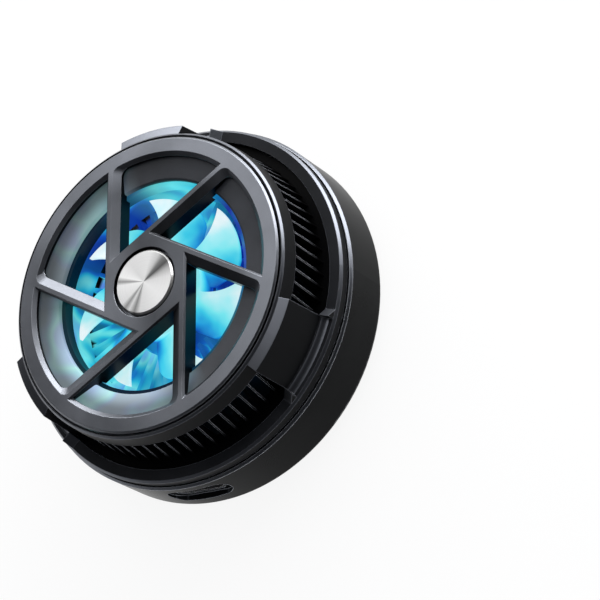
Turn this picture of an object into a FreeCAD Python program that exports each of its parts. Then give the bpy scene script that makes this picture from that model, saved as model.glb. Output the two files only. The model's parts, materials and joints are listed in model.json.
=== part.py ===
import FreeCAD, Part
import os
import math

# Cooling wireless charger: a round puck with a glass charging face at z = 0 and a fan grille on top.
# +Z points from the glass to the grille, the port looks along -Y, and lengths are in millimetres.

V = FreeCAD.Vector
Z_AXIS = V(0, 0, 1)
TURN = 360.0
EPS = 0.5
QUARTER = 1 - math.sqrt(0.5)

# Directions about the axis, in degrees
port_angle = 270.0
block_angles = [90.0, 210.0, 330.0]
vent_angles = [30.0, 150.0, 270.0]

# Radius of the whole body; every other large radius is stepped in from it
shell_r = 30.9

# Glass, print film and trim at the charging face
shell_shoulder = 0.8
glass_t = 1.1
glass_bevel = 0.2
film_t = 0.1
film_margin = 0.4
trim_width = 1.8
trim_gap = 0.1
trim_recess = 0.15
trim_inner_bevel = 0.45
trim_round = 0.8
glue_t = 0.25
glue_width = 0.6

# Coil stack
coil_inner_r = 9.5
coil_margin = 1.2
coil_t = 1.8
ferrite_gap = 1.3
ferrite_t = 1.0
coil_pad_margin = 1.0
coil_pad_t = 0.5
terminal_width = 1.5
terminal_t = 0.3
terminal_spacing = 5.0
terminal_angle = 60.0

# Alignment magnets
magnet_margin = 1.0
magnet_width = 3.7
magnet_t = 1.95
magnet_count = 16
magnet_gap_angle = 2.0
backing_t = 0.25
channel_play = 0.1
channel_wall = 0.7
channel_web = 0.8

# Cold plate and thermoelectric cooler
cold_plate_overlap = 1.1
cold_plate_t = 1.75
cooler_side = 20.0
ceramic_t = 0.8
pellet_side = 1.3
pellet_h = 1.4
pellet_rows = 6
foam_width = 0.8
foam_play = 0.1
sensor_r = 0.6
sensor_length = 2.0

# Main board
board_margin = 2.8
board_t = 0.8
board_hole_play = 0.4
board_gap = 2.38
board_edge = 0.6
chip_side = 4.0
chip_h = 0.9
chip_angles = [235.0, 305.0, 20.0]
inductor_side = 4.4
inductor_h = 1.8
inductor_angles = [180.0, 0.0]
capacitor_length = 1.6
capacitor_width = 0.8
capacitor_h = 0.8
capacitor_angles = [40.0, 47.0, 115.0, 122.0, 129.0, 160.0, 195.0, 340.0]
connector_length = 4.0
connector_width = 1.4
connector_h = 0.9

# Charging port
port_width = 8.94
port_height = 3.26
port_depth = 7.3
port_metal = 0.3
port_setback = 1.1
port_play = 0.1
port_recess_width = 11.6
port_recess_height = 4.9
port_recess_depth = 1.0
tongue_width = 6.7
tongue_t = 0.7
port_plug_depth = 1.6

# Heat sink
pedestal_h = 1.15
sink_vent_gap = 0.5
sink_base_t = 1.2
sink_fin_h = 2.9
sink_fin_t = 0.6
sink_fin_count = 40
sink_fin_inner_r = 9.5
sink_screw_inset = 4.5
spacer_r = 1.8
lug_reach = 2.0
fan_post_r = 1.7

# Screws
screw_r = 0.8
screw_play = 0.05
screw_head_r = 1.4
screw_head_h = 0.8
screw_socket_r = 0.7
screw_socket_depth = 0.4
fan_screw_length = 3.2

# Fan frame and bearing
sink_fan_gap = 0.2
frame_plate_t = 0.8
frame_hub_r = 7.8
duct_step = 0.7
duct_wall = 1.7
strut_width = 2.4
lug_t = 1.0
lug_r = 1.9
bearing_tube_r = 2.3
bearing_r = 1.7
bearing_length = 2.1
bearing_lift = 0.5
shaft_r = 0.75
shaft_play = 0.03
shaft_tip_gap = 0.05
fan_board_r = 6.6
fan_board_t = 0.4

# Motor
stator_r = 5.8
stator_t = 1.0
stator_lift = 0.8
stator_hub_wall = 1.0
stator_poles = 6
pole_width = 1.3
pole_shoe_depth = 0.6
pole_shoe_width = 4.2
winding_t = 0.45
winding_gap = 0.08
air_gap = 0.3
rotor_magnet_t = 0.9
rotor_magnet_h = 2.0
yoke_t = 0.4
yoke_top_t = 0.5
yoke_floor_gap = 0.7
washer_r = 1.4
washer_t = 0.15

# Impeller
blade_count = 7
blade_tip_gap = 1.1
blade_floor_gap = 0.6
blade_h = 3.75
blade_t = 0.75
blade_camber = 0.35
blade_first_tip_angle = 45.7
blade_tip_lead_angle = 22.0
blade_tip_trail_angle = 11.0
blade_trail_inset = 2.0
blade_edge_inset = 0.5
blade_mid_lead_angle = 15.2
blade_mid_trail_angle = 20.5
blade_root_lead_angle = 14.0
blade_root_trail_angle = 25.0
blade_root_twist = 0.5
hub_wall = 0.6
hub_top_t = 0.7
hub_drop = 0.15
blade_grille_gap = 0.65

# Front grille
spoke_depth = 3.2
spoke_guide_gap = 0.15
spoke_count = 6
spoke_offset = 7.58
spoke_flat = 0.75
spoke_edge_bevel = 0.3
spoke_slope_width = 1.45
spoke_slope_depth = 0.65
tower_step = 6.3
face_width = 2.2
ring_bevel = 0.3
ring_t = 1.1
window_bevel_width = 0.65
window_bevel_depth = 0.5
window_corner_r = 1.6
disc_r = 5.5
disc_gap = 0.42
disc_recess_depth = 1.4
disc_proud = 0.05
disc_bevel = 0.3
disc_glue_t = 0.1

# Fan bezel
bezel_cone_width = 3.75
bezel_drop = 1.7
bezel_edge_round = 0.35
bezel_t = 1.3
bezel_play = 0.05
bezel_clear = 0.1

# Light ring
guide_width = 1.0
guide_h = 2.0
led_board_t = 0.5
led_board_width = 2.9
led_count = 12
led_length = 1.6
led_depth = 0.9
led_h = 0.6
led_play = 0.1
flex_width = 3.0
flex_t = 0.12
flex_sink_gap = 0.12
flex_play = 0.1
led_flex_angle = 140.0
fan_flex_angle = block_angles[1]

# Vent shell
lip_width = 0.4
lip_bevel = 0.35
groove_width = 0.35
groove_depth = 0.35
lip_recess = 0.45
band_drop = 3.7
band_flare = 0.25
shoulder_width = 0.85
shoulder_t = 0.65
seam_z = 11.4
seam_gap = 0.15
seam_depth = 0.3
rim_step = 0.6
rim_bevel = 0.4
rim_bevel_h = 0.4
ledge_width = 1.8
ledge_t = 0.95
shelf_width = 0.7
shelf_t = 0.5
spigot_wall = 1.0
spigot_length = 1.2
spigot_play = 0.1
snap_bead = 0.12
snap_play = 0.05
snap_root = 0.3

# Blocks between the vents
block_width = 11.5
block_facet_width = 1.6
block_facet_drop = 0.55
block_wall_flare = 0.85
block_foot_z = 0.9
block_floor_gap = 0.1
ramp_side = 1.5

# Vent fins
vent_fins_per_vent = 20
vent_fin_end_gap = 0.62
vent_fin_t = 0.3
vent_fin_step = 0.45
vent_fin_recess = 0.3
vent_fin_lean = 0.9
vent_fin_slant = 1.0
hoop_t = 0.5
hoop_play = 0.05
fin_floor_gap = 0.1

# Rear shell
shell_bulge = 0.12
shell_wall = 1.6
shell_round = 0.95
shell_front_bevel = 0.4

# Heights, from the glass face up
z_glass = glass_t
z_film = z_glass + film_t
z_shell = z_film + glue_t
z_coil = z_film + coil_t
z_ferrite = z_coil + ferrite_t
z_cold = z_ferrite + coil_pad_t
z_cold_top = z_cold + cold_plate_t
z_cooler_top = z_cold_top + 2 * ceramic_t + pellet_h
z_sink = z_cooler_top + pedestal_h
z_sink_top = z_sink + sink_base_t
z_fins_top = z_sink_top + sink_fin_h
z_frame = z_fins_top + sink_fan_gap
z_frame_top = z_frame + frame_plate_t
z_blade = z_frame_top + blade_floor_gap
z_blade_top = z_blade + blade_h
z_spoke = z_blade_top + blade_grille_gap
z_face = z_spoke + spoke_depth
z_board = z_cold_top + board_gap
z_board_top = z_board + board_t
z_port = z_board - port_height / 2
z_ring = z_face - ring_t
z_bezel = z_ring - bezel_t
z_duct_top = z_bezel - guide_h
z_led_board_top = z_duct_top + led_board_t
z_band = z_face - band_drop
z_shelf_top = seam_z + shelf_t
z_hoop_top = z_shelf_top + hoop_t
z_ledge = z_hoop_top + ledge_t

# Radii that follow from the sizes above, in the lower half
trim_outer_r = shell_r - shell_shoulder
trim_inner_r = trim_outer_r - trim_width
glass_r = trim_inner_r - trim_gap
magnet_outer_r = glass_r - magnet_margin
magnet_inner_r = magnet_outer_r - magnet_width
ferrite_r = magnet_inner_r - ferrite_gap
coil_outer_r = ferrite_r - coil_margin
coil_pad_r = coil_outer_r - coil_pad_margin
cold_plate_r = magnet_inner_r + cold_plate_overlap
shell_inner_r = shell_r - shell_wall
spigot_outer_r = shell_inner_r - spigot_play
spigot_inner_r = spigot_outer_r - spigot_wall
board_r = shell_inner_r - board_margin
board_hole_side = cooler_side + 2 * (foam_play + foam_width + board_hole_play)

# Radii in the upper half
rim_r = shell_r - rim_step
ledge_outer_r = rim_r - rim_bevel
ledge_inner_r = ledge_outer_r - ledge_width
face_outer_r = shell_r - tower_step
face_inner_r = face_outer_r - face_width
ring_outer_r = face_outer_r + ring_bevel
window_r = face_inner_r - window_bevel_width
bezel_opening_r = window_r - bezel_cone_width
tower_inner_r = ring_outer_r + bezel_play
lip_inner_r = tower_inner_r + groove_width
lip_outer_r = lip_inner_r + lip_width
band_r = lip_outer_r + band_flare
shoulder_r = tower_inner_r - shoulder_width
vent_fin_inner_r = tower_inner_r - vent_fin_step
block_span_angle = 2 * math.degrees(math.asin(block_width / 2 / band_r))
block_reach = (block_width / 2 + vent_fin_end_gap) / vent_fin_inner_r
vent_span_angle = TURN / len(vent_angles) - 2 * math.degrees(math.asin(block_reach))
vent_fin_pitch_angle = vent_span_angle / (vent_fins_per_vent - 1)

# Radii of the heat sink, the fan and its light
sink_r = vent_fin_inner_r - sink_vent_gap
sink_screw_r = sink_r - sink_screw_inset
duct_inner_r = bezel_opening_r - duct_step
duct_outer_r = duct_inner_r + duct_wall
fan_screw_r = duct_outer_r + lug_reach
blade_tip_r = duct_inner_r - blade_tip_gap
hub_r = stator_r + air_gap + rotor_magnet_t + yoke_t + hub_wall
yoke_r = hub_r - hub_wall
rotor_magnet_r = yoke_r - yoke_t
guide_outer_r = duct_inner_r + guide_width
led_board_inner_r = guide_outer_r + led_play
flex_r = sink_r + flex_sink_gap


def polar(r, angle, z=0.0):
    a = math.radians(angle)
    return V(r * math.cos(a), r * math.sin(a), z)


def disc(r, z0, z1):
    return Part.makeCylinder(r, z1 - z0, V(0, 0, z0))


def pin(r, z0, z1, place_r, angle):
    return Part.makeCylinder(r, z1 - z0, polar(place_r, angle, z0))


def ring(outer, inner, z0, z1):
    return disc(outer, z0, z1).cut(disc(inner, z0 - EPS, z1 + EPS))


def brick(x0, x1, y0, y1, z0, z1):
    return Part.makeBox(x1 - x0, y1 - y0, z1 - z0, V(x0, y0, z0))


def turned(shape, angle):
    copy = shape.copy()
    copy.rotate(V(0, 0, 0), Z_AXIS, angle)
    return copy


def around(shape, angles):
    return [turned(shape, a) for a in angles]


def joined(shapes):
    return shapes[0].multiFuse(shapes[1:]).removeSplitter()


def sector(span, reach, z0, z1, gap):
    """Wedge centred on +X, drawn back by half a gap at each side."""
    half = math.radians(span / 2)
    tip = gap / 2 / math.sin(half)
    far_x = tip + reach * math.cos(half)
    far_y = reach * math.sin(half)
    outline = Part.makePolygon([V(tip, 0, z0), V(far_x, -far_y, z0), V(far_x, far_y, z0), V(tip, 0, z0)])
    return Part.Face(outline).extrude(V(0, 0, z1 - z0))


def loop(start, *steps):
    """Closed wire in the XZ plane: a step is (x, z) for a line, or two such points for an arc."""
    edges = []
    here = V(start[0], 0, start[1])
    for step in steps + (start,):
        if isinstance(step[0], tuple):
            middle = V(step[0][0], 0, step[0][1])
            there = V(step[1][0], 0, step[1][1])
            edges.append(Part.Arc(here, middle, there).toShape())
        else:
            there = V(step[0], 0, step[1])
            edges.append(Part.makeLine(here, there))
        here = there
    return Part.Wire(edges)


def out_then_up(a, b):
    """Quarter round that leaves a along the radius and reaches b along the height."""
    middle = (a[0] + (b[0] - a[0]) * (1 - QUARTER), a[1] + (b[1] - a[1]) * QUARTER)
    return middle, b


def up_then_out(a, b):
    """Quarter round that leaves a along the height and reaches b along the radius."""
    middle = (a[0] + (b[0] - a[0]) * QUARTER, a[1] + (b[1] - a[1]) * (1 - QUARTER))
    return middle, b


def spun(start, *steps):
    """Solid turned about the Z axis from a closed outline of (radius, height) points."""
    face = Part.Face(loop(start, *steps))
    return face.revolve(V(0, 0, 0), Z_AXIS, TURN)


def plate(start, *steps, width):
    """Outline of (x, z) points drawn out to a width that is centred on y = 0."""
    face = Part.Face(loop(start, *steps))
    face.translate(V(0, width / 2, 0))
    return face.extrude(V(0, -width, 0))


def racetrack(width, height, y0, y1, z):
    """Prism along Y with round ends."""
    half = width / 2 - height / 2
    r = height / 2
    right = ((half + r, z), (half, z + r))
    left = ((-half - r, z), (-half, z - r))
    face = Part.Face(loop((half, z - r), right, (-half, z + r), left))
    face.translate(V(0, y0, 0))
    return face.extrude(V(0, y1 - y0, 0))


def screw(z_seat, length, place_r, angle):
    head = pin(screw_head_r, z_seat, z_seat + screw_head_h, place_r, angle)
    z_top = z_seat + screw_head_h
    socket = pin(screw_socket_r, z_top - screw_socket_depth, z_top + EPS, place_r, angle)
    shank = pin(screw_r, z_seat - length, z_seat + screw_head_h / 4, place_r, angle)
    return joined([head.cut(socket), shank])


# Charging face

def charging_glass():
    return spun(
        (0, 0),
        (glass_r - glass_bevel, 0),
        (glass_r, glass_bevel),
        (glass_r, glass_t),
        (0, glass_t))


def print_film():
    return disc(glass_r - film_margin, z_glass, z_film)


def rear_trim_ring():
    outer = trim_outer_r
    inner = trim_inner_r
    low = trim_recess
    bend = trim_round
    return spun(
        (inner, z_shell),
        (inner, low + trim_inner_bevel),
        (inner + trim_inner_bevel, low),
        (outer - bend, low),
        out_then_up((outer - bend, low), (outer, low + bend)),
        (outer, z_shell))


def glass_glue_ring():
    outer = glass_r - film_margin
    return ring(outer, outer - glue_width, z_film, z_shell)


# Rear shell and what it holds

def rear_shell():
    channel_in = magnet_inner_r - channel_play
    channel_out = magnet_outer_r + channel_play
    flange_in = channel_in - channel_wall
    top = seam_z
    body = spun(
        (flange_in, z_shell),
        (channel_in, z_shell),
        (channel_in, z_cold - channel_web),
        (channel_out, z_cold - channel_web),
        (channel_out, z_shell),
        (trim_outer_r, z_shell),
        out_then_up((trim_outer_r, z_shell), (shell_r + shell_bulge, z_shell + shell_round)),
        (shell_r, top - seam_gap - shell_front_bevel),
        (shell_r - shell_front_bevel, top - seam_gap),
        (rim_r - seam_depth, top - seam_gap),
        (rim_r - seam_depth, top),
        (shell_inner_r, top),
        (shell_inner_r, z_cold),
        (flange_in, z_cold))
    return body.cut(snap_groove()).cut(port_cut())


def snap_ring(size, outer):
    """Rounded bead half way down the spigot, or the groove that takes it."""
    z = seam_z - spigot_length / 2
    return spun(
        (outer - snap_root, z - size),
        (outer, z - size),
        (outer + size, z),
        (outer, z + size),
        (outer - snap_root, z + size))


def snap_groove():
    return snap_ring(snap_bead + snap_play, spigot_outer_r + spigot_play)


def port_cut():
    """Opening for the receptacle, with a wider recess at the outside for the plug's sleeve."""
    face_y = -(shell_r + EPS)
    recess_y = -(shell_r - port_recess_depth)
    recess = racetrack(port_recess_width, port_recess_height, face_y, recess_y, z_port)
    width = port_width + 2 * port_play
    height = port_height + 2 * port_play
    through = racetrack(width, height, face_y, -(shell_inner_r - 2 * EPS), z_port)
    return recess.fuse(through)


def alignment_magnets():
    step = TURN / magnet_count
    z0 = z_cold - channel_web - backing_t - magnet_t
    z1 = z0 + magnet_t
    band = ring(magnet_outer_r, magnet_inner_r, z0, z1)
    one = band.common(sector(step - magnet_gap_angle, 2 * magnet_outer_r, z0, z1, 0.0))
    return Part.makeCompound(around(one, [port_angle + (i + 0.5) * step for i in range(magnet_count)]))


def magnet_backing_ring():
    z1 = z_cold - channel_web
    return ring(magnet_outer_r, magnet_inner_r, z1 - backing_t, z1)


def charging_coil():
    return ring(coil_outer_r, coil_inner_r, z_film, z_coil)


def ferrite_sheet():
    return disc(ferrite_r, z_coil, z_ferrite).cut(joined(terminal_slots(z_coil, z_ferrite)))


def coil_thermal_pad():
    return disc(coil_pad_r, z_ferrite, z_cold).cut(joined(terminal_slots(z_ferrite, z_cold)))


def terminal_slots(z0, z1):
    """Two slots for the coil's terminals."""
    play = 3 * terminal_t
    near = coil_outer_r - terminal_width - play
    far = coil_outer_r + 2 * play
    half = terminal_t / 2 + play
    slots = []
    for y in (-terminal_spacing / 2, terminal_spacing / 2):
        slot = brick(near, far, y - half, y + half, z0 - EPS, z1 + EPS)
        slots.append(turned(slot, terminal_angle))
    return slots


def coil_terminals():
    """Two copper tabs that stand on the coil's rim and reach up to the board."""
    tabs = []
    for s in (-1, 1):
        y = s * terminal_spacing / 2
        x = math.sqrt(coil_outer_r ** 2 - (terminal_spacing / 2 + terminal_t) ** 2)
        tab = brick(x - terminal_width, x, y - terminal_t / 2, y + terminal_t / 2, z_coil, z_board)
        tabs.append(turned(tab, terminal_angle))
    return Part.makeCompound(tabs)


def cold_plate():
    body = disc(cold_plate_r, z_cold, z_cold_top)
    mouth = port_width + 4 * port_play
    notch_y = port_back_y() + 3 * port_play
    notch = brick(-mouth / 2, mouth / 2, -cold_plate_r - EPS, notch_y, z_cold - EPS, z_cold_top + EPS)
    body = body.cut(notch)
    body = body.cut(joined(terminal_slots(z_cold, z_cold_top)))
    holes = [pin(screw_r, z_cold - EPS, z_cold_top + EPS, sink_screw_r, a) for a in block_angles]
    return body.cut(joined(holes))


# Thermoelectric cooler

def square(side, z0, z1):
    return brick(-side / 2, side / 2, -side / 2, side / 2, z0, z1)


def cooler_cold_ceramic():
    return square(cooler_side, z_cold_top, z_cold_top + ceramic_t)


def cooler_hot_ceramic():
    return square(cooler_side, z_cooler_top - ceramic_t, z_cooler_top)


def cooler_pellets():
    z0 = z_cold_top + ceramic_t
    pitch = cooler_side / pellet_rows
    half = pellet_side / 2
    pellets = []
    for i in range(pellet_rows):
        for j in range(pellet_rows):
            x = (i + 0.5) * pitch - cooler_side / 2
            y = (j + 0.5) * pitch - cooler_side / 2
            pellets.append(brick(x - half, x + half, y - half, y + half, z0, z0 + pellet_h))
    return Part.makeCompound(pellets)


def cooler_foam_frame():
    inner = cooler_side + 2 * foam_play
    hollow = square(inner, z_cold_top - EPS, z_board + EPS)
    return square(inner + 2 * foam_width, z_cold_top, z_board).cut(hollow)


def temperature_sensor():
    """Bead that lies on the cold plate beside the cooler."""
    y = cooler_side / 2 + foam_play + foam_width + 2 * sensor_r
    start = V(-sensor_length / 2, y, z_cold_top + sensor_r)
    return Part.makeCylinder(sensor_r, sensor_length, start, V(1, 0, 0))


# Main board

def main_board():
    hole = square(board_hole_side, z_board - EPS, z_board_top + EPS)
    body = disc(board_r, z_board, z_board_top).cut(hole)
    hole_r = screw_r + screw_play
    holes = [pin(hole_r, z_board - EPS, z_board_top + EPS, sink_screw_r, a) for a in block_angles]
    return body.cut(joined(holes))


def board_spacers():
    """Sleeves under and over the board, one pair at each screw of the heat sink."""
    sleeves = []
    for a in block_angles:
        hole = pin(screw_r + screw_play, z_cold_top - EPS, z_sink + EPS, sink_screw_r, a)
        sleeves.append(pin(spacer_r, z_cold_top, z_board, sink_screw_r, a).cut(hole))
        sleeves.append(pin(spacer_r, z_board_top, z_sink, sink_screw_r, a).cut(hole))
    return Part.makeCompound(sleeves)


def hung_box(length, width, height, place_r, angle):
    """Component under the board with its long side square to the radius."""
    near = place_r - width / 2
    box = brick(near, near + width, -length / 2, length / 2, z_board - height, z_board)
    return turned(box, angle)


def board_middle_r():
    """Middle of the board's rim, clear of the corners of its square hole."""
    return (board_hole_side / 2 * math.sqrt(2) + board_r) / 2


def board_chips():
    r = board_middle_r()
    return Part.makeCompound([hung_box(chip_side, chip_side, chip_h, r, a) for a in chip_angles])


def board_inductors():
    r = board_middle_r()
    boxes = [hung_box(inductor_side, inductor_side, inductor_h, r, a) for a in inductor_angles]
    return Part.makeCompound(boxes)


def board_capacitors():
    r = board_r - capacitor_width - board_edge
    size = (capacitor_length, capacitor_width, capacitor_h)
    return Part.makeCompound([hung_box(*size, r, a) for a in capacitor_angles])


def board_connectors():
    """Sockets on the board that take the fan's and the light ring's flat cables."""
    place_r = flex_r + flex_t + connector_width / 2
    one = brick(place_r - connector_width / 2, place_r + connector_width / 2,
                -connector_length / 2, connector_length / 2, z_board_top, z_board_top + connector_h)
    return Part.makeCompound(around(one, [fan_flex_angle, led_flex_angle]))


# Charging port

def port_front_y():
    return -(shell_r - port_setback)


def port_back_y():
    return port_front_y() + port_depth


def port_metal_shell():
    outer = racetrack(port_width, port_height, port_front_y(), port_back_y(), z_port)
    width = port_width - 2 * port_metal
    height = port_height - 2 * port_metal
    return outer.cut(racetrack(width, height, port_front_y() - EPS, port_back_y() + EPS, z_port))


def port_tongue():
    """Insulating block at the back of the port with the contact tongue standing out of it."""
    width = port_width - 2 * port_metal
    height = port_height - 2 * port_metal
    plug = racetrack(width, height, port_back_y() - port_plug_depth, port_back_y(), z_port)
    front = port_front_y() + port_plug_depth / 2
    half = tongue_width / 2
    back = port_back_y() - port_plug_depth / 2
    tongue = brick(-half, half, front, back, z_port - tongue_t / 2, z_port + tongue_t / 2)
    return joined([plug, tongue])


# Heat sink

def heat_sink():
    base = joined([square(cooler_side, z_cooler_top, z_sink + EPS), disc(sink_r, z_sink, z_sink_top)])
    side = sink_fin_t / 2
    fin = brick(sink_fin_inner_r, sink_r + EPS, -side, side, z_sink_top - EPS, z_fins_top)
    step = TURN / sink_fin_count
    fins = around(fin, [i * step for i in range(sink_fin_count)])
    posts = [pin(fan_post_r, z_sink_top - EPS, z_frame, fan_screw_r, a) for a in vent_angles]
    body = joined([base] + fins + posts).common(disc(sink_r, z_cooler_top - EPS, z_face))
    for a in block_angles:
        body = body.cut(pin(screw_head_r + 2 * screw_play, z_sink_top, z_face, sink_screw_r, a))
        body = body.cut(pin(screw_r + screw_play, z_sink - EPS, z_face, sink_screw_r, a))
    screw_end = z_frame + lug_t - fan_screw_length - screw_play
    for a in vent_angles:
        body = body.cut(pin(screw_r, screw_end, z_face, fan_screw_r, a))
    return body


def sink_screws():
    length = z_sink_top - z_cold_top + cold_plate_t
    return Part.makeCompound([screw(z_sink_top, length, sink_screw_r, a) for a in block_angles])


# Fan frame and bearing

def fan_frame():
    duct = ring(duct_outer_r, duct_inner_r, z_frame, z_duct_top)
    hub = disc(frame_hub_r, z_frame, z_frame_top)
    reach = (duct_inner_r + duct_outer_r) / 2
    strut = brick(0, reach, -strut_width / 2, strut_width / 2, z_frame, z_frame_top)
    lug = joined([
        brick(reach, fan_screw_r, -lug_r, lug_r, z_frame, z_frame + lug_t),
        pin(lug_r, z_frame, z_frame + lug_t, fan_screw_r, 0)])
    tube = disc(bearing_tube_r, z_frame, bearing_top())
    body = joined([duct, hub, tube] + around(strut, block_angles) + around(lug, vent_angles))
    body = body.cut(disc(bearing_r, z_frame_top, z_face))
    holes = [pin(screw_r + screw_play, z_frame - EPS, z_face, fan_screw_r, a) for a in vent_angles]
    return body.cut(joined(holes))


def bearing_bottom():
    return z_frame_top + bearing_lift


def bearing_top():
    return bearing_bottom() + bearing_length


def sleeve_bearing():
    return ring(bearing_r, shaft_r + shaft_play, bearing_bottom(), bearing_top())


def fan_screws():
    z = z_frame + lug_t
    return Part.makeCompound([screw(z, fan_screw_length, fan_screw_r, a) for a in vent_angles])


def fan_board():
    return ring(fan_board_r, bearing_tube_r, z_frame_top, z_frame_top + fan_board_t)


def stator_bottom():
    return z_frame_top + fan_board_t + stator_lift


def stator_core():
    z0 = stator_bottom()
    z1 = z0 + stator_t
    hub = disc(bearing_tube_r + stator_hub_wall, z0, z1)
    arm = brick(0, stator_r, -pole_width / 2, pole_width / 2, z0, z1)
    half = pole_shoe_width / 2
    shoe = brick(stator_r - pole_shoe_depth, stator_r + EPS, -half, half, z0, z1)
    arms = around(joined([arm, shoe]), pole_angles())
    body = joined([hub] + arms).common(disc(stator_r, z0, z1))
    return body.cut(disc(bearing_tube_r, z0 - EPS, z1 + EPS))


def pole_angles():
    return [i * TURN / stator_poles for i in range(stator_poles)]


def stator_windings():
    """One wound sleeve round each pole."""
    z0 = stator_bottom() - winding_t
    z1 = stator_bottom() + stator_t + winding_t
    half = pole_width / 2 + winding_t
    near = bearing_tube_r + stator_hub_wall + 2 * winding_gap
    far = stator_r - pole_shoe_depth - 2 * winding_gap
    sleeve = brick(near, far, -half, half, z0, z1)
    core_z = stator_bottom()
    side = pole_width / 2
    bore = brick(near - EPS, far + EPS, -side, side, core_z, core_z + stator_t)
    keep = sector(TURN / stator_poles, 2 * far, z0, z1, winding_gap)
    return Part.makeCompound(around(sleeve.cut(bore).common(keep), pole_angles()))


# Rotor

def z_hub_top():
    return z_blade_top - hub_drop


def rotor_yoke():
    top = z_hub_top() - hub_top_t
    cup = disc(yoke_r, z_frame_top + yoke_floor_gap, top)
    hollow = disc(rotor_magnet_r, z_frame_top, top - yoke_top_t)
    return cup.cut(hollow).cut(disc(shaft_r, z_frame_top, z_face))


def rotor_magnet():
    top = z_hub_top() - hub_top_t - yoke_top_t
    return ring(rotor_magnet_r, rotor_magnet_r - rotor_magnet_t, top - rotor_magnet_h, top)


def rotor_shaft():
    return disc(shaft_r, z_frame_top + shaft_tip_gap, z_hub_top() - hub_top_t)


def shaft_retaining_washer():
    z1 = bearing_bottom() - shaft_tip_gap
    return ring(washer_r, shaft_r, z1 - washer_t, z1)


def blade_section(x, trail, lead, twist):
    """Thin cambered section across the blade, at a distance x along its middle line."""
    y_trail = -x * math.tan(math.radians(trail)) - blade_t
    y_lead = x * math.tan(math.radians(lead)) + blade_t
    z_trail = z_blade - twist
    z_lead = z_blade_top - blade_t + twist
    y_mid = (y_trail + y_lead) / 2
    z_mid = (z_trail + z_lead) / 2 + blade_camber
    low = [V(x, y_trail, z_trail), V(x, y_mid, z_mid), V(x, y_lead, z_lead)]
    high = [p + V(0, 0, blade_t) for p in low]
    edges = [
        Part.Arc(*low).toShape(),
        Part.makeLine(low[2], high[2]),
        Part.Arc(*reversed(high)).toShape(),
        Part.makeLine(high[0], low[0])]
    return Part.Wire(edges)


def blade_outline():
    """Plan view of one blade, swept forward to a point, drawn in behind it, its middle line along +X."""
    tip = polar(blade_tip_r, blade_tip_lead_angle)
    edge = polar(blade_tip_r - blade_edge_inset, (blade_tip_lead_angle - blade_tip_trail_angle) / 2)
    trail = polar(blade_tip_r - blade_trail_inset, -blade_tip_trail_angle)
    root_r = hub_r - hub_wall / 2
    middle_r = (root_r + blade_tip_r) / 2
    lead_in = polar(root_r, blade_root_lead_angle)
    lead_mid = polar(middle_r, blade_mid_lead_angle)
    trail_in = polar(root_r, -blade_root_trail_angle)
    trail_mid = polar(middle_r, -blade_mid_trail_angle)
    edges = [
        Part.Arc(trail, edge, tip).toShape(),
        Part.Arc(tip, lead_mid, lead_in).toShape(),
        Part.makeLine(lead_in, trail_in),
        Part.Arc(trail_in, trail_mid, trail).toShape()]
    return Part.Face(Part.Wire(edges))


def blade():
    root_r = hub_r - 2 * hub_wall
    end_r = blade_tip_r + hub_wall
    root = blade_section(root_r, blade_root_trail_angle, blade_root_lead_angle, blade_root_twist)
    end = blade_section(end_r, blade_tip_trail_angle, blade_tip_lead_angle, 0.0)
    slab = Part.makeLoft([root, end], True, True)
    outline = blade_outline()
    outline.translate(V(0, 0, z_blade))
    return slab.common(outline.extrude(V(0, 0, blade_h)))


def fan_impeller():
    cup = disc(hub_r, z_frame_top + yoke_floor_gap, z_hub_top())
    first = blade_first_tip_angle - blade_tip_lead_angle
    turns = [first + i * TURN / blade_count for i in range(blade_count)]
    body = joined([cup] + around(blade(), turns))
    return body.cut(disc(yoke_r, z_frame_top, z_hub_top() - hub_top_t))


# Light ring

def light_guide_ring():
    return ring(guide_outer_r, duct_inner_r, z_duct_top, z_bezel)


def led_board():
    return ring(led_board_inner_r + led_board_width, led_board_inner_r, z_duct_top, z_led_board_top)


def led_emitters():
    near = led_board_inner_r + led_play
    half = led_length / 2
    one = brick(near, near + led_depth, -half, half, z_led_board_top, z_led_board_top + led_h)
    step = TURN / led_count
    return Part.makeCompound(around(one, [(i + 0.5) * step for i in range(led_count)]))


def flex_strip(z_start, start_r):
    """Flat cable that runs out under a board, bends down past the heat sink and ends at the main board."""
    half = flex_width / 2
    flat = brick(start_r, flex_r + flex_t, -half, half, z_start - flex_t, z_start)
    drop = brick(flex_r, flex_r + flex_t, -half, half, z_board_top, z_start)
    return joined([flat, drop])


def led_flex_cable():
    return turned(flex_strip(z_duct_top, duct_outer_r + flex_play), led_flex_angle)


def fan_flex_cable():
    return turned(flex_strip(z_frame, fan_board_r), fan_flex_angle)


# Fan bezel and grille

def bezel_profile(lift):
    """Cone that falls from the grille's windows to the fan opening, raised by a clearance."""
    r0 = bezel_opening_r
    z_low = z_face - bezel_drop + lift
    z_high = z_ring - bezel_play + lift
    e = bezel_edge_round
    return spun(
        (r0, z_bezel),
        (r0, z_low - e),
        up_then_out((r0, z_low - e), (r0 + e, z_low)),
        (window_r + bezel_clear, z_high),
        (window_r + bezel_clear, z_ring + lift),
        (ring_outer_r, z_ring + lift),
        (ring_outer_r, z_bezel))


def fan_bezel():
    return bezel_profile(0.0)


def spoke_section():
    """Section across a spoke, as distance from the axis and height: steep outside, sloped inside."""
    s = spoke_offset
    inner = s - spoke_flat
    slope_end = inner - spoke_slope_width
    return loop(
        (s, z_face),
        (s + spoke_edge_bevel, z_face - spoke_edge_bevel),
        (s + spoke_edge_bevel, z_spoke),
        (slope_end, z_spoke),
        (slope_end, z_face - spoke_slope_depth),
        (inner, z_face))


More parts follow.
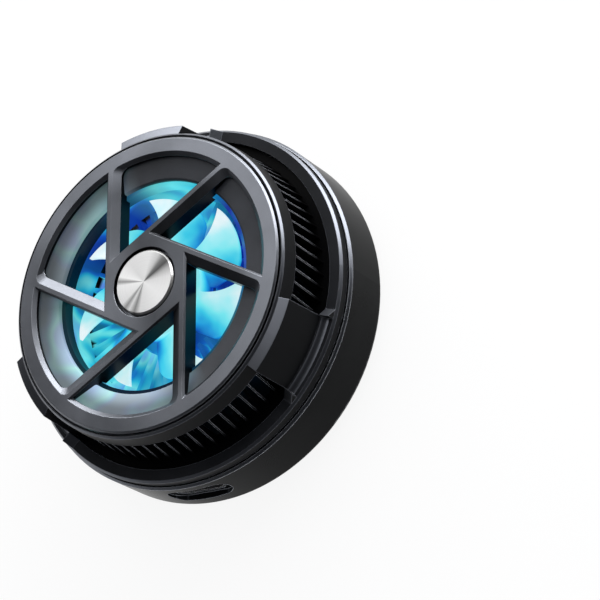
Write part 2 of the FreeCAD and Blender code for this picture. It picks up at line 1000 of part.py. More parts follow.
def spoke():
    """Straight bar, tangent to the hub, that runs clockwise from the hub's side to the ring."""
    face = Part.Face(spoke_section())
    bar = face.extrude(V(0, -face_outer_r, 0))
    bar = bar.common(disc((face_inner_r + face_outer_r) / 2, z_spoke, z_face))
    return joined([bar, corner_web()])


def corner_outline(side_x, outer_r, z):
    """Fillet between a spoke's sloped side and the ring, as a closed outline that also enters both."""
    r = window_corner_r
    center_x = side_x - r
    center_y = -math.sqrt((outer_r - r) ** 2 - center_x ** 2)
    angle = math.atan2(center_y, center_x)
    on_side = V(side_x, center_y, z)
    on_ring = V(outer_r * math.cos(angle), outer_r * math.sin(angle), z)
    half = angle / 2
    middle = V(center_x + r * math.cos(half), center_y + r * math.sin(half), z)
    deep = bezel_clear + EPS / 5
    in_side = V(side_x + deep, center_y, z)
    corner = V(side_x + deep, -math.sqrt((outer_r + deep) ** 2 - (side_x + deep) ** 2), z)
    in_ring = V((outer_r + deep) * math.cos(angle), (outer_r + deep) * math.sin(angle), z)
    edges = [
        Part.Arc(on_ring, middle, on_side).toShape(),
        Part.makeLine(on_side, in_side),
        Part.makeLine(in_side, corner),
        Part.makeLine(corner, in_ring),
        Part.makeLine(in_ring, on_ring)]
    return Part.Wire(edges)


def corner_web():
    """Rounded corner of a window, sloped like the spoke beside it."""
    inner = spoke_offset - spoke_flat
    z_break = z_face - spoke_slope_depth
    high = corner_outline(inner, face_inner_r, z_face)
    low = corner_outline(inner - spoke_slope_width, window_r, z_break)
    slope = Part.makeLoft([high, low], True, True)
    wall = Part.Face(low).extrude(V(0, 0, z_spoke - z_break))
    return joined([slope, wall])


def grille_hub():
    """Six-sided boss with a bevelled edge."""
    def hexagon(apothem, z):
        corner = apothem / math.cos(math.pi / spoke_count)
        step = TURN / spoke_count
        points = [polar(corner, (i + 0.5) * step, z) for i in range(spoke_count)]
        return Part.makePolygon(points + [points[0]])
    wide = spoke_offset + spoke_edge_bevel
    z_break = z_face - spoke_edge_bevel
    low = Part.Face(hexagon(wide, z_spoke)).extrude(V(0, 0, z_break - z_spoke))
    high = Part.makeLoft([hexagon(wide, z_break), hexagon(spoke_offset, z_face)], True, True)
    return joined([low, high])


def grille_ring():
    return spun(
        (window_r, z_ring),
        (ring_outer_r, z_ring),
        (ring_outer_r, z_face - ring_bevel),
        (face_outer_r, z_face),
        (face_inner_r, z_face),
        (window_r, z_face - window_bevel_depth))


def front_grille():
    """Ring, hub and six spokes that reach into the opening, cut back round the bezel and the light ring."""
    step = TURN / spoke_count
    spokes = around(spoke(), [i * step for i in range(spoke_count)])
    body = joined([grille_ring(), grille_hub()] + spokes)
    above = ring(ring_outer_r + EPS, window_r, z_ring, z_face)
    body = body.cut(bezel_profile(bezel_clear).cut(above))
    body = body.cut(ring(ring_outer_r + EPS, duct_inner_r - spoke_guide_gap, z_spoke, z_bezel + bezel_clear))
    return body.cut(disc(disc_r + disc_gap, z_face - disc_recess_depth, z_face + EPS))


def hub_disc():
    top = z_face + disc_proud
    low = z_face - disc_recess_depth + disc_glue_t
    return spun((0, low), (disc_r, low), (disc_r, top - disc_bevel), (disc_r - disc_bevel, top), (0, top))


def hub_disc_glue():
    low = z_face - disc_recess_depth
    return disc(disc_r - disc_bevel, low, low + disc_glue_t)


# Vent shell

def band_ring():
    """Lip, plain band and the shoulder inside that carries the bezel."""
    lip = z_face - lip_recess
    return spun(
        (tower_inner_r, z_bezel),
        (shoulder_r, z_bezel),
        (shoulder_r, z_bezel - shoulder_t),
        (tower_inner_r, z_bezel - shoulder_t),
        (tower_inner_r, z_band),
        (band_r, z_band),
        (lip_outer_r, lip - lip_bevel),
        (lip_outer_r - lip_bevel, lip),
        (lip_inner_r, lip),
        (lip_inner_r, lip - groove_depth),
        (tower_inner_r, lip - groove_depth))


def base_ring():
    """Ledge below the vents, bevelled rim, and the spigot that enters the rear shell."""
    shelf_in = ledge_inner_r - shelf_width
    return spun(
        (shelf_in, seam_z),
        (spigot_inner_r, seam_z),
        (spigot_inner_r, seam_z - spigot_length),
        (spigot_outer_r, seam_z - spigot_length),
        (spigot_outer_r, seam_z),
        (rim_r - seam_depth, seam_z),
        (rim_r - seam_depth, seam_z + seam_gap),
        (rim_r, seam_z + seam_gap),
        (rim_r, z_ledge - rim_bevel_h),
        (ledge_outer_r, z_ledge),
        (ledge_inner_r, z_ledge),
        (ledge_inner_r, z_shelf_top),
        (shelf_in, z_shelf_top))


def shell_block():
    """Solid buttress that joins the band to the base between two vents, with radial sides."""
    top = z_face - lip_recess - lip_bevel
    foot = z_ledge
    facet_r = lip_outer_r + block_facet_width
    facet_z = top - block_facet_drop
    wall_r = facet_r + block_wall_flare
    wall_z = foot + block_foot_z
    solid = spun(
        (tower_inner_r, z_hoop_top + block_floor_gap),
        (tower_inner_r, top),
        (lip_outer_r, top),
        (facet_r, facet_z),
        (wall_r, wall_z),
        up_then_out((wall_r, wall_z), (ledge_outer_r, foot)),
        (ledge_outer_r, z_hoop_top + block_floor_gap))
    return solid.common(sector(block_span_angle, 2 * rim_r, 0, 2 * z_face, 0))


def foot_ramp(side):
    """Small slope where a block's side meets the ledge."""
    corner = V(0, 0, z_ledge)
    foot = V(0, side * ramp_side, z_ledge)
    outline = Part.makePolygon([corner, foot, V(0, 0, z_ledge + ramp_side), corner])
    prism = Part.Face(outline).extrude(V(2 * rim_r, 0, 0))
    ramp = prism.common(ring(ledge_outer_r, ledge_inner_r, z_ledge, z_ledge + 2 * ramp_side))
    return turned(ramp, side * block_span_angle / 2)


def vent_shell():
    bead = snap_ring(snap_bead, spigot_outer_r)
    buttress = joined([shell_block(), foot_ramp(1), foot_ramp(-1)])
    return joined([band_ring(), base_ring(), bead] + around(buttress, block_angles))


def fin_section(z, outer_r, shift):
    """Level section of a fin that lies along +X and is shifted sideways."""
    low_y = shift - vent_fin_t / 2
    high_y = shift + vent_fin_t / 2
    inner_r = vent_fin_inner_r
    corners = [V(inner_r, low_y, z), V(outer_r, low_y, z), V(outer_r, high_y, z), V(inner_r, high_y, z)]
    return Part.makePolygon(corners + corners[:1])


def vent_fin():
    """Straight fin that leans outwards and slants clockwise on its way down."""
    top_r = band_r - vent_fin_recess
    low = fin_section(z_shelf_top + hoop_t / 2, top_r + vent_fin_lean, -vent_fin_slant / 2)
    high = fin_section(z_band - hoop_play, top_r, vent_fin_slant / 2)
    return Part.makeLoft([low, high], True, True)


def vent_fin_ring():
    """Fins between a floor and a crown whose seams lie at a block, clear of every fin."""
    floor = ring(ledge_inner_r - fin_floor_gap, vent_fin_inner_r, z_shelf_top, z_hoop_top)
    top = z_bezel - shoulder_t - hoop_play
    crown = ring(tower_inner_r - hoop_play, shoulder_r, z_band - hoop_play - EPS, top)
    hoops = [turned(hoop, block_angles[0]) for hoop in (floor, crown)]
    first = (1 - vent_fins_per_vent) / 2 * vent_fin_pitch_angle
    offsets = [first + i * vent_fin_pitch_angle for i in range(vent_fins_per_vent)]
    fins = around(vent_fin(), [a + o for a in vent_angles for o in offsets])
    return joined(hoops + fins)


PARTS = [
    charging_glass, print_film, rear_trim_ring, glass_glue_ring, rear_shell,
    alignment_magnets, magnet_backing_ring, charging_coil, ferrite_sheet, coil_thermal_pad,
    coil_terminals, cold_plate, cooler_cold_ceramic, cooler_pellets, cooler_hot_ceramic,
    cooler_foam_frame, temperature_sensor, main_board, board_spacers, board_chips,
    board_inductors, board_capacitors, board_connectors, port_metal_shell, port_tongue,
    heat_sink, sink_screws, fan_frame, sleeve_bearing, fan_screws, fan_board, stator_core,
    stator_windings, rotor_yoke, rotor_magnet, rotor_shaft, shaft_retaining_washer,
    fan_impeller, light_guide_ring, led_board, led_emitters, led_flex_cable, fan_flex_cable,
    fan_bezel, front_grille, hub_disc, hub_disc_glue, vent_shell, vent_fin_ring]

os.makedirs("parts", exist_ok=True)
for make in PARTS:
    shape = make()
    print(make.__name__, len(shape.Solids), round(shape.Volume, 1), shape.isValid())
    shape.exportStep(os.path.join("parts", make.__name__ + ".step"))
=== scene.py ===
import json
import math

import bpy
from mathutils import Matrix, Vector


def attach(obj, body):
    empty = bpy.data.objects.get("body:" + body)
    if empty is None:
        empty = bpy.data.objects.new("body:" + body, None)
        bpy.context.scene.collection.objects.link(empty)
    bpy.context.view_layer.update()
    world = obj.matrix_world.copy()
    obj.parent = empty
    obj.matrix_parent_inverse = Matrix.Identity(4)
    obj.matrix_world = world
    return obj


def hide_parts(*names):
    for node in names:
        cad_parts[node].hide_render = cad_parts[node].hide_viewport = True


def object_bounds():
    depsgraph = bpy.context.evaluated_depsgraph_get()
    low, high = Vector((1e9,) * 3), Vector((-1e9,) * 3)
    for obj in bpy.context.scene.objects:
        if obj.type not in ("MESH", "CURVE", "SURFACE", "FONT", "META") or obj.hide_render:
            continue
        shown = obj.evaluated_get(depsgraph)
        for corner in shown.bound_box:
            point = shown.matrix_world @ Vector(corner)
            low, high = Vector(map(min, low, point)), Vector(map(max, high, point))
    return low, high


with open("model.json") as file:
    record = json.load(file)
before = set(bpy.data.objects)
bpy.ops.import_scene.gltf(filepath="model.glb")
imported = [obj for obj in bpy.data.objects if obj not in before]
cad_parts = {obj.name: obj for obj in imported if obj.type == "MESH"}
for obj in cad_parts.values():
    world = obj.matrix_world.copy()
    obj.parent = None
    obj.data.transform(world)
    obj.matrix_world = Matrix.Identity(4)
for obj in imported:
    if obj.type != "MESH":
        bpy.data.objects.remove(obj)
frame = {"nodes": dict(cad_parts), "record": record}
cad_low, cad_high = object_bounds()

# Lengths in the materials are in millimetres, those of the meshes are in metres.
MM = 0.001

# Sizes of the part that its finishes follow, in millimetres
OPENING_R = 18.0     # the fan's opening
WINDOW_R = 21.75     # outer ends of the grille's windows
DUCT_R = 17.3        # inside of the fan's duct
BLADE_TIP_R = 16.2
BLADE_LOW = 16.1     # heights of the blades' lowest and highest edges
BLADE_HIGH = 19.85
LAMP_Z = 21.0        # height that the ring's light comes from
SINK_FLOOR = 11.75   # just above the heat sink's floor
FIN_FOOT_Z = 13.9    # top of the ledge that the fins rise from
GLASS_T = 1.1
FILM_T = 0.1
FILM_R = 27.8
INK_T = 0.03
PORT_Z = 7.0         # height of the port's middle
TONGUE_T = 0.7
COIL_PITCH = 0.55

# Values that several finishes share. A noise's Scale is its number of patches to the millimetre.
CLOUD_PER_MM = 0.12  # soft patches of colour and gloss, some 8 mm across
EDGE_SAMPLES = 4
LIGHT_FADE = 0.6     # width over which the ring's light ends, in millimetres
WHITE = "#ffffff"
BLACK = "#000000"

# Sockets of a Mix node that mixes colours: its two inputs and its output
MIX_A = 6
MIX_B = 7
MIXED = 2


def linear(value):
    """Linear colour of an sRGB hex value. Anything else comes back as it is."""
    if not (isinstance(value, str) and value.startswith("#")):
        return value
    shares = [int(value[i:i + 2], 16) / 255 for i in (1, 3, 5)]
    return [s / 12.92 if s <= 0.04045 else ((s + 0.055) / 1.055) ** 2.4 for s in shares] + [1.0]


def add(tree, kind, inputs=None, stops=None, **settings):
    """Adds a node with its settings, its inputs (a value, or the socket that feeds it) and a ramp's stops."""
    node = tree.nodes.new(kind)
    for name, value in settings.items():
        setattr(node, name, value)
    for key, value in (inputs or {}).items():
        if isinstance(value, bpy.types.NodeSocket):
            tree.links.new(value, node.inputs[key])
        else:
            node.inputs[key].default_value = linear(value)
    if stops:
        marks = node.color_ramp.elements
        while len(marks) < len(stops):
            marks.new(1.0)
        for mark, (place, colour) in zip(marks, stops):
            mark.position = place
            mark.color = linear(colour)
    return node


def span(start, end, low=0.0, high=1.0):
    """The limits of a Map Range node that goes from low at the start to high at the end."""
    return {"From Min": start, "From Max": end, "To Min": low, "To Max": high}


def greys(*marks):
    """A ramp's stops for shares of full light."""
    return [(place, (share, share, share, 1)) for place, share in marks]


def begin(name, **sockets):
    """A new material with its tree, its shader and the object's own coordinates in millimetres."""
    made = bpy.data.materials.new(name)
    made.use_nodes = True
    tree = made.node_tree
    shader = tree.nodes["Principled BSDF"]
    for key, value in sockets.items():
        shader.inputs[key.replace("_", " ")].default_value = linear(value)
    place = add(tree, "ShaderNodeTexCoord").outputs["Object"]
    mm = add(tree, "ShaderNodeVectorMath", {0: place, 1: (1 / MM,) * 3}, operation="MULTIPLY").outputs[0]
    return made, tree, shader, mm


def feed(shader, **sources):
    """Links sockets to the shader's inputs that they are named for."""
    for key, source in sources.items():
        shader.id_data.links.new(source, shader.inputs[key.replace("_", " ")])


# What finish_surface reads, each as the value where an effect sets in and the one where it is full. The rise
# of a face is 1 where it looks up and 0 where it is upright. The turn is how far the rounded normal agrees
# with the face's own: it falls below 1 near an edge. The blend adds up grain and cloud.
WALL_SHADE_RISE = (0.75, 0.1)
BEVEL_RISE = (0.5, 0.6)
BEVEL_END_RISE = (0.995, 0.96)
EDGE_WEAR_AND_HIGHLIGHT_TURN = (0.985, 0.90)
COLOUR_BLEND = (0.45, 0.95)
GLOSS_BLEND = (0.4, 1.1)


def finish_surface(tree, shader, mm, colours, grain_mm, relief_mm, rough, swing, edge_mm=0.1, edge=None,
                   stretch=(1, 1, 1), walls=None, bevels=None):
    """Gives the shader mottled colour, fine relief, uneven gloss and soft edges. Where a colour is given for
    them, edges are lightened as wear and painted highlight, upright walls are darkened as painted shade and
    bevels are bare metal. Returns the colour."""
    grain_place = add(tree, "ShaderNodeVectorMath", {0: mm, 1: stretch}, operation="MULTIPLY").outputs[0]
    grain = add(tree, "ShaderNodeTexNoise", {
        "Vector": grain_place, "Scale": 1 / grain_mm, "Detail": 3.0}).outputs["Fac"]
    cloud = add(tree, "ShaderNodeTexNoise", {
        "Vector": mm, "Scale": CLOUD_PER_MM, "Detail": 4.0}).outputs["Fac"]
    blend = add(tree, "ShaderNodeMath", {0: grain, 1: cloud, 2: cloud}, operation="MULTIPLY_ADD").outputs[0]
    stops = list(zip(COLOUR_BLEND, colours))
    colour = add(tree, "ShaderNodeValToRGB", {"Fac": blend}, stops).outputs["Color"]
    soft = add(tree, "ShaderNodeBevel", {"Radius": edge_mm * MM}, samples=EDGE_SAMPLES).outputs["Normal"]
    shape = add(tree, "ShaderNodeNewGeometry").outputs
    rise = add(tree, "ShaderNodeSeparateXYZ", {0: shape["True Normal"]}).outputs["Z"]
    # Painted shade: upright walls take the darker walls colour.
    if walls:
        upright = add(tree, "ShaderNodeMapRange", {"Value": rise, **span(*WALL_SHADE_RISE)}).outputs["Result"]
        colour = add(tree, "ShaderNodeMix", {
            "Factor": upright, MIX_A: colour, MIX_B: walls}, data_type="RGBA").outputs[MIXED]
    if bevels:
        steep = add(tree, "ShaderNodeMapRange", {"Value": rise, **span(*BEVEL_RISE)}).outputs["Result"]
        flat = add(tree, "ShaderNodeMapRange", {"Value": rise, **span(*BEVEL_END_RISE)}).outputs["Result"]
        bright = add(tree, "ShaderNodeMath", {0: steep, 1: flat}, operation="MULTIPLY").outputs[0]
        colour = add(tree, "ShaderNodeMix", {
            "Factor": bright, MIX_A: colour, MIX_B: bevels}, data_type="RGBA").outputs[MIXED]
        feed(shader, Metallic=bright)
    # Wear and painted highlight: edges take the lighter edge colour.
    if edge:
        turn = add(tree, "ShaderNodeVectorMath", {
            0: soft, 1: shape["Normal"]}, operation="DOT_PRODUCT").outputs["Value"]
        highlit_worn_edge = add(tree, "ShaderNodeMapRange", {"Value": turn, **span(*EDGE_WEAR_AND_HIGHLIGHT_TURN)}).outputs["Result"]
        colour = add(tree, "ShaderNodeMix", {
            "Factor": highlit_worn_edge, MIX_A: colour, MIX_B: edge}, data_type="RGBA").outputs[MIXED]
    gloss = add(tree, "ShaderNodeMapRange", {
        "Value": blend, **span(*GLOSS_BLEND, rough - swing, rough + swing)}).outputs["Result"]
    bump = add(tree, "ShaderNodeBump", {
        "Height": grain, "Distance": relief_mm * MM, "Strength": 1.0, "Normal": soft}).outputs["Normal"]
    feed(shader, Base_Color=colour, Roughness=gloss, Normal=bump)
    return colour


def surface(name, colours, grain_mm, relief_mm, rough, swing, edge_mm=0.1, edge=None, stretch=(1, 1, 1),
            walls=None, bevels=None, **sockets):
    """A whole material of one grained finish."""
    made, tree, shader, mm = begin(name, **sockets)
    finish_surface(tree, shader, mm, colours, grain_mm, relief_mm, rough, swing, edge_mm, edge, stretch,
                   walls, bevels)
    return made


def polar_parts(tree, mm):
    """Radius in millimetres, share of a full turn and height of a point about the fan's axis."""
    parts = add(tree, "ShaderNodeSeparateXYZ", {0: mm}).outputs
    flat = add(tree, "ShaderNodeVectorMath", {0: mm, 1: (1, 1, 0)}, operation="MULTIPLY").outputs[0]
    radius = add(tree, "ShaderNodeVectorMath", {0: flat}, operation="LENGTH").outputs["Value"]
    angle = add(tree, "ShaderNodeMath", {0: parts["Y"], 1: parts["X"]}, operation="ARCTAN2").outputs[0]
    turn = add(tree, "ShaderNodeMath", {0: angle, 1: 1 / math.tau}, operation="MULTIPLY").outputs[0]
    share = add(tree, "ShaderNodeMath", {0: turn, 1: 1.0}, operation="FLOORED_MODULO").outputs[0]
    return radius, share, parts["Z"]


def lamp_colour(tree, mm, share, patchy):
    """Colour of the light ring's uneven light: navy, blue and cyan round the turn, partly in soft patches."""
    round_turn = add(tree, "ShaderNodeValToRGB", {"Fac": share}, [
        (0.00, "#1858d0"), (0.10, "#0a2cae"), (0.17, "#2cc8e4"), (0.25, "#78f4f4"), (0.32, "#1450c4"),
        (0.40, "#0c48b4"), (0.50, "#2cc4cc"), (0.62, "#30c8e0"), (0.72, "#0f48c0"), (0.80, "#1a70d8"),
        (0.92, "#40d0f0"), (1.00, "#1858d0")]).outputs["Color"]
    patch = add(tree, "ShaderNodeTexNoise", {
        "Vector": mm, "Scale": CLOUD_PER_MM, "Detail": 1.0}).outputs["Fac"]
    patches = add(tree, "ShaderNodeValToRGB", {"Fac": patch}, [
        (0.41, "#061c84"), (0.47, "#0c50c8"), (0.53, "#2cc8ea"), (0.60, "#84faf8"),
        (0.69, "#6a86f4")]).outputs["Color"]
    return add(tree, "ShaderNodeMix", {
        "Factor": patchy, MIX_A: round_turn, MIX_B: patches}, data_type="RGBA").outputs[MIXED]


# Materials

def gunmetal_grille():
    # Zinc casting with gunmetal paint: satin grey faces, a lighter line on each edge as wear and painted
    # highlight, and upright walls painted nearly black as painted shade.
    made, tree, shader, mm = begin("gunmetal_sprayed_zinc_grille", Metallic=1.0)
    paint = finish_surface(tree, shader, mm, ("#6a6d73", "#7a7d84"), 0.16, 0.002, 0.32, 0.04,
                           edge_mm=0.12, edge="#a4a8b0", walls="#26272b")
    # Painted light and shade: the spokes are lightest on the left and darker on the others.
    radius, share = polar_parts(tree, mm)[:2]
    painted_side_shade = add(tree, "ShaderNodeValToRGB", {"Fac": share}, [
        (0.00, "#c8c8c8"), (0.14, "#b8b8b8"), (0.27, "#a4a4a4"), (0.40, "#e8e8e8"), (0.56, "#ffffff"),
        (0.67, "#ffffff"), (0.80, "#b0b0b0"), (1.00, "#c8c8c8")]).outputs["Color"]
    within = add(tree, "ShaderNodeMapRange", {
        "Value": radius, **span(WINDOW_R + 0.5, OPENING_R)}).outputs["Result"]
    tone = add(tree, "ShaderNodeMix", {
        "Factor": within, MIX_A: WHITE, MIX_B: painted_side_shade}, data_type="RGBA").outputs[MIXED]
    colour = add(tree, "ShaderNodeMix", {
        "Factor": 1.0, MIX_A: paint, MIX_B: tone}, data_type="RGBA", blend_type="MULTIPLY").outputs[MIXED]
    feed(shader, Base_Color=colour)
    return made


def gunmetal_shell():
    # The same paint in a darker tone on the vent housing: nearly black, with upright walls darker still as
    # painted shade, edges lightened as wear and painted highlight, and the bevels cut bright after painting.
    return surface("gunmetal_painted_zinc_housing", ("#1a1b1d", "#242528"), 0.16, 0.002, 0.32, 0.04,
                   edge_mm=0.14, edge="#74777e", walls="#101113", bevels="#6c6f76", Specular_IOR_Level=0.04)


def gunmetal_fins():
    # Thin cast fins: dark, with a painted highlight line on their edges that gives way to painted shade at
    # the foot.
    dark_paint = ("#060607", "#0b0b0c")
    shade_fade_mm = 2.4
    made, tree, shader, mm = begin("gunmetal_painted_zinc_fins", Metallic=0.0, Specular_IOR_Level=0.03)
    paint = finish_surface(tree, shader, mm, dark_paint, 0.14, 0.002, 0.42, 0.05,
                           edge_mm=0.12, edge="#c4c8d0")
    # Painted shade: the fins darken towards their foot.
    height = add(tree, "ShaderNodeSeparateXYZ", {0: mm}).outputs["Z"]
    foot_shade = add(tree, "ShaderNodeMapRange", {
        "Value": height, **span(FIN_FOOT_Z + shade_fade_mm, FIN_FOOT_Z)}).outputs["Result"]
    colour = add(tree, "ShaderNodeMix", {
        "Factor": foot_shade, MIX_A: paint, MIX_B: dark_paint[0]}, data_type="RGBA").outputs[MIXED]
    feed(shader, Base_Color=colour)
    return made


def rear_shell_coat():
    # Aluminium under near-black satin lacquer: smooth sides with broad soft highlights, bright bevels and
    # edges lightened as painted highlight.
    return surface("satin_lacquered_aluminium_shell", ("#0b0c0d", "#121314"), 0.10, 0.001, 0.30, 0.04,
                   edge_mm=0.15, edge="#ccd0d8", bevels="#6c6f76", Specular_IOR_Level=0.04)


def trim_coat():
    # Polished black chrome round the glass: sharp bright reflections, and edges lightened as painted
    # highlight.
    return surface("polished_black_chrome_trim", ("#3a3b40", "#4a4c52"), 0.3, 0.0005, 0.12, 0.03,
                   edge_mm=0.06, edge="#b4b7be", Metallic=1.0)


def smoked_glass():
    # Polished flat glass with a slight grey tint, its surface all but perfect.
    made, tree, shader, mm = begin("polished_smoked_glass", Metallic=0.0, IOR=1.5, Transmission_Weight=1.0)
    tint = add(tree, "ShaderNodeTexNoise", {"Vector": mm, "Scale": 1 / 20, "Detail": 2.0}).outputs["Fac"]
    shade = add(tree, "ShaderNodeValToRGB", {"Fac": tint}, [(0.3, "#cfd2d8"), (0.7, "#dcdee2")])
    smear = add(tree, "ShaderNodeTexNoise", {"Vector": mm, "Scale": 0.3, "Detail": 5.0}).outputs["Fac"]
    gloss = add(tree, "ShaderNodeMapRange", {"Value": smear, **span(0.0, 1.0, 0.0, 0.05)})
    feed(shader, Base_Color=shade.outputs["Color"], Roughness=gloss.outputs["Result"])
    return made


def film_ink():
    # Polyester film printed near black: even, slightly glossy, greyer and a little bluish towards its rim.
    speck_share = 0.3
    made, tree, shader, mm = begin("printed_polyester_film", Metallic=0.0)
    radius = polar_parts(tree, mm)[0]
    rim = add(tree, "ShaderNodeMapRange", {"Value": radius, **span(5.0, FILM_R)}).outputs["Result"]
    speck = add(tree, "ShaderNodeTexNoise", {"Vector": mm, "Scale": 1 / 0.25, "Detail": 3.0}).outputs["Fac"]
    mixed = add(tree, "ShaderNodeMath", {
        0: speck, 1: speck_share, 2: rim}, operation="MULTIPLY_ADD").outputs[0]
    ink = add(tree, "ShaderNodeValToRGB", {"Fac": mixed}, [(0.1, "#16171b"), (1.0, "#3c3d45")])
    gloss = add(tree, "ShaderNodeMapRange", {"Value": speck, **span(0.0, 1.0, 0.25, 0.4)})
    feed(shader, Base_Color=ink.outputs["Color"], Roughness=gloss.outputs["Result"])
    return made


def print_ink():
    # Light grey screen ink: flat, with a faint mesh texture.
    return surface("light_grey_screen_ink", ("#9a9ba4", "#b0b1ba"), 0.25, 0.001, 0.5, 0.05)


def spun_aluminium():
    # Aluminium disc turned on a lathe: fine circular lines, with the bright and dark sectors that they fan
    # the light into painted on as painted reflection.
    # The lines are 0.05 mm apart on the real disc and drawn wider so that they show.
    line_mm = 0.16
    made, tree, shader, mm = begin("spun_aluminium_disc", Metallic=1.0, Anisotropic=0.35)
    radius, share = polar_parts(tree, mm)[:2]
    lines = add(tree, "ShaderNodeTexNoise", {
        "W": radius, "Scale": 1 / line_mm, "Detail": 2.0}, noise_dimensions="1D").outputs["Fac"]
    # Painted reflection: bright and dark sectors round the turn.
    painted_sector_reflections = add(tree, "ShaderNodeValToRGB", {"Fac": share}, [
        (0.00, "#dadada"), (0.045, "#b4b4b4"), (0.085, "#545454"), (0.12, "#787878"), (0.155, "#c8c8c8"),
        (0.21, "#e4e4e4"), (0.35, "#dcdcdc"), (0.44, "#f6f6f6"), (0.468, "#969696"), (0.49, "#f4f4f4"),
        (0.60, "#f2f2f2"), (0.632, "#9a9a9a"), (0.66, "#e8e8e8"), (0.695, "#8e8e8e"), (0.73, "#e4e4e4"),
        (0.88, "#ebebeb"), (1.00, "#dadada")]).outputs["Color"]
    shade = add(tree, "ShaderNodeMapRange", {
        "Value": lines, **span(0.0, 1.0, 0.86, 1.0)}).outputs["Result"]
    colour = add(tree, "ShaderNodeMix", {
        "Factor": 1.0, MIX_A: painted_sector_reflections, MIX_B: shade}, data_type="RGBA", blend_type="MULTIPLY").outputs[MIXED]
    gloss = add(tree, "ShaderNodeMapRange", {
        "Value": lines, **span(0.0, 1.0, 0.26, 0.36)}).outputs["Result"]
    soft = add(tree, "ShaderNodeBevel", {"Radius": 0.1 * MM}, samples=EDGE_SAMPLES).outputs["Normal"]
    bump = add(tree, "ShaderNodeBump", {
        "Height": lines, "Distance": 0.002 * MM, "Strength": 1.0, "Normal": soft}).outputs["Normal"]
    around_axis = add(tree, "ShaderNodeTangent", direction_type="RADIAL", axis="Z").outputs["Tangent"]
    feed(shader, Base_Color=colour, Roughness=gloss, Normal=bump, Tangent=around_axis)
    return made


def blade_plastic():
    # Clear frosted polycarbonate with the rim's light painted on as glow: white at the raised edges, blue
    # towards the low ones, where the body colour is also darker as painted shade.
    hub_r = 8.0
    made, tree, shader, mm = begin("frosted_polycarbonate_blades", Metallic=0.0, Roughness=0.3,
                                   Emission_Strength=0.85)
    radius, _, height = polar_parts(tree, mm)
    up = add(tree, "ShaderNodeMapRange", {
        "Value": height, **span(BLADE_LOW, BLADE_HIGH - 0.5)}).outputs["Result"]
    out = add(tree, "ShaderNodeMapRange", {"Value": radius, **span(hub_r, BLADE_TIP_R)}).outputs["Result"]
    drift = add(tree, "ShaderNodeTexNoise", {"Vector": mm, "Scale": 0.22, "Detail": 2.0}).outputs["Fac"]
    lit = 0.0
    for part, share in ((up, 0.56), (out, 0.22), (drift, 0.4)):
        lit = add(tree, "ShaderNodeMath", {0: part, 1: share, 2: lit}, operation="MULTIPLY_ADD").outputs[0]
    glow = add(tree, "ShaderNodeValToRGB", {"Fac": lit}, [
        (0.26, "#0838a8"), (0.42, "#189ae0"), (0.55, "#40d4f0"), (0.70, "#7cf2f8"), (0.84, "#b4f8fc"),
        (0.98, "#f4ffff")]).outputs["Color"]
    body = add(tree, "ShaderNodeMix", {
        "Factor": up, MIX_A: "#0c2448", MIX_B: "#24506a"}, data_type="RGBA").outputs[MIXED]
    frost = add(tree, "ShaderNodeTexNoise", {"Vector": mm, "Scale": 6.0, "Detail": 3.0}).outputs["Fac"]
    soft = add(tree, "ShaderNodeBevel", {"Radius": 0.15 * MM}, samples=EDGE_SAMPLES).outputs["Normal"]
    bump = add(tree, "ShaderNodeBump", {
        "Height": frost, "Distance": 0.003 * MM, "Strength": 1.0, "Normal": soft}).outputs["Normal"]
    feed(shader, Emission_Color=glow, Base_Color=body, Normal=bump)
    return made


def light_guide():
    # Smoked acrylic ring with lamps behind it: lit on the right and far sides, nearly black from the far
    # left round to the port.
    made, tree, shader, mm = begin("smoked_acrylic_light_guide", Metallic=0.0, Roughness=0.35,
                                   Emission_Strength=1.0, Specular_IOR_Level=0.1)
    share = polar_parts(tree, mm)[1]
    colour = lamp_colour(tree, mm, share, patchy=0.2)
    lit = add(tree, "ShaderNodeValToRGB", {"Fac": share}, greys(
        (0.00, 0.6), (0.22, 0.9), (0.30, 0.2), (0.36, 0.03), (0.80, 0.03), (0.90, 0.2),
        (1.00, 0.5))).outputs["Color"]
    glow = add(tree, "ShaderNodeMix", {
        "Factor": 1.0, MIX_A: colour, MIX_B: lit}, data_type="RGBA", blend_type="MULTIPLY").outputs[MIXED]
    haze = add(tree, "ShaderNodeTexNoise", {"Vector": mm, "Scale": 1 / 0.5, "Detail": 3.0}).outputs["Fac"]
    milk = add(tree, "ShaderNodeValToRGB", {"Fac": haze}, [(0.3, "#04141e"), (0.7, "#071c28")])
    bump = add(tree, "ShaderNodeBump", {"Height": haze, "Distance": 0.003 * MM})
    feed(shader, Emission_Color=glow, Base_Color=milk.outputs["Color"], Normal=bump.outputs["Normal"])
    return made


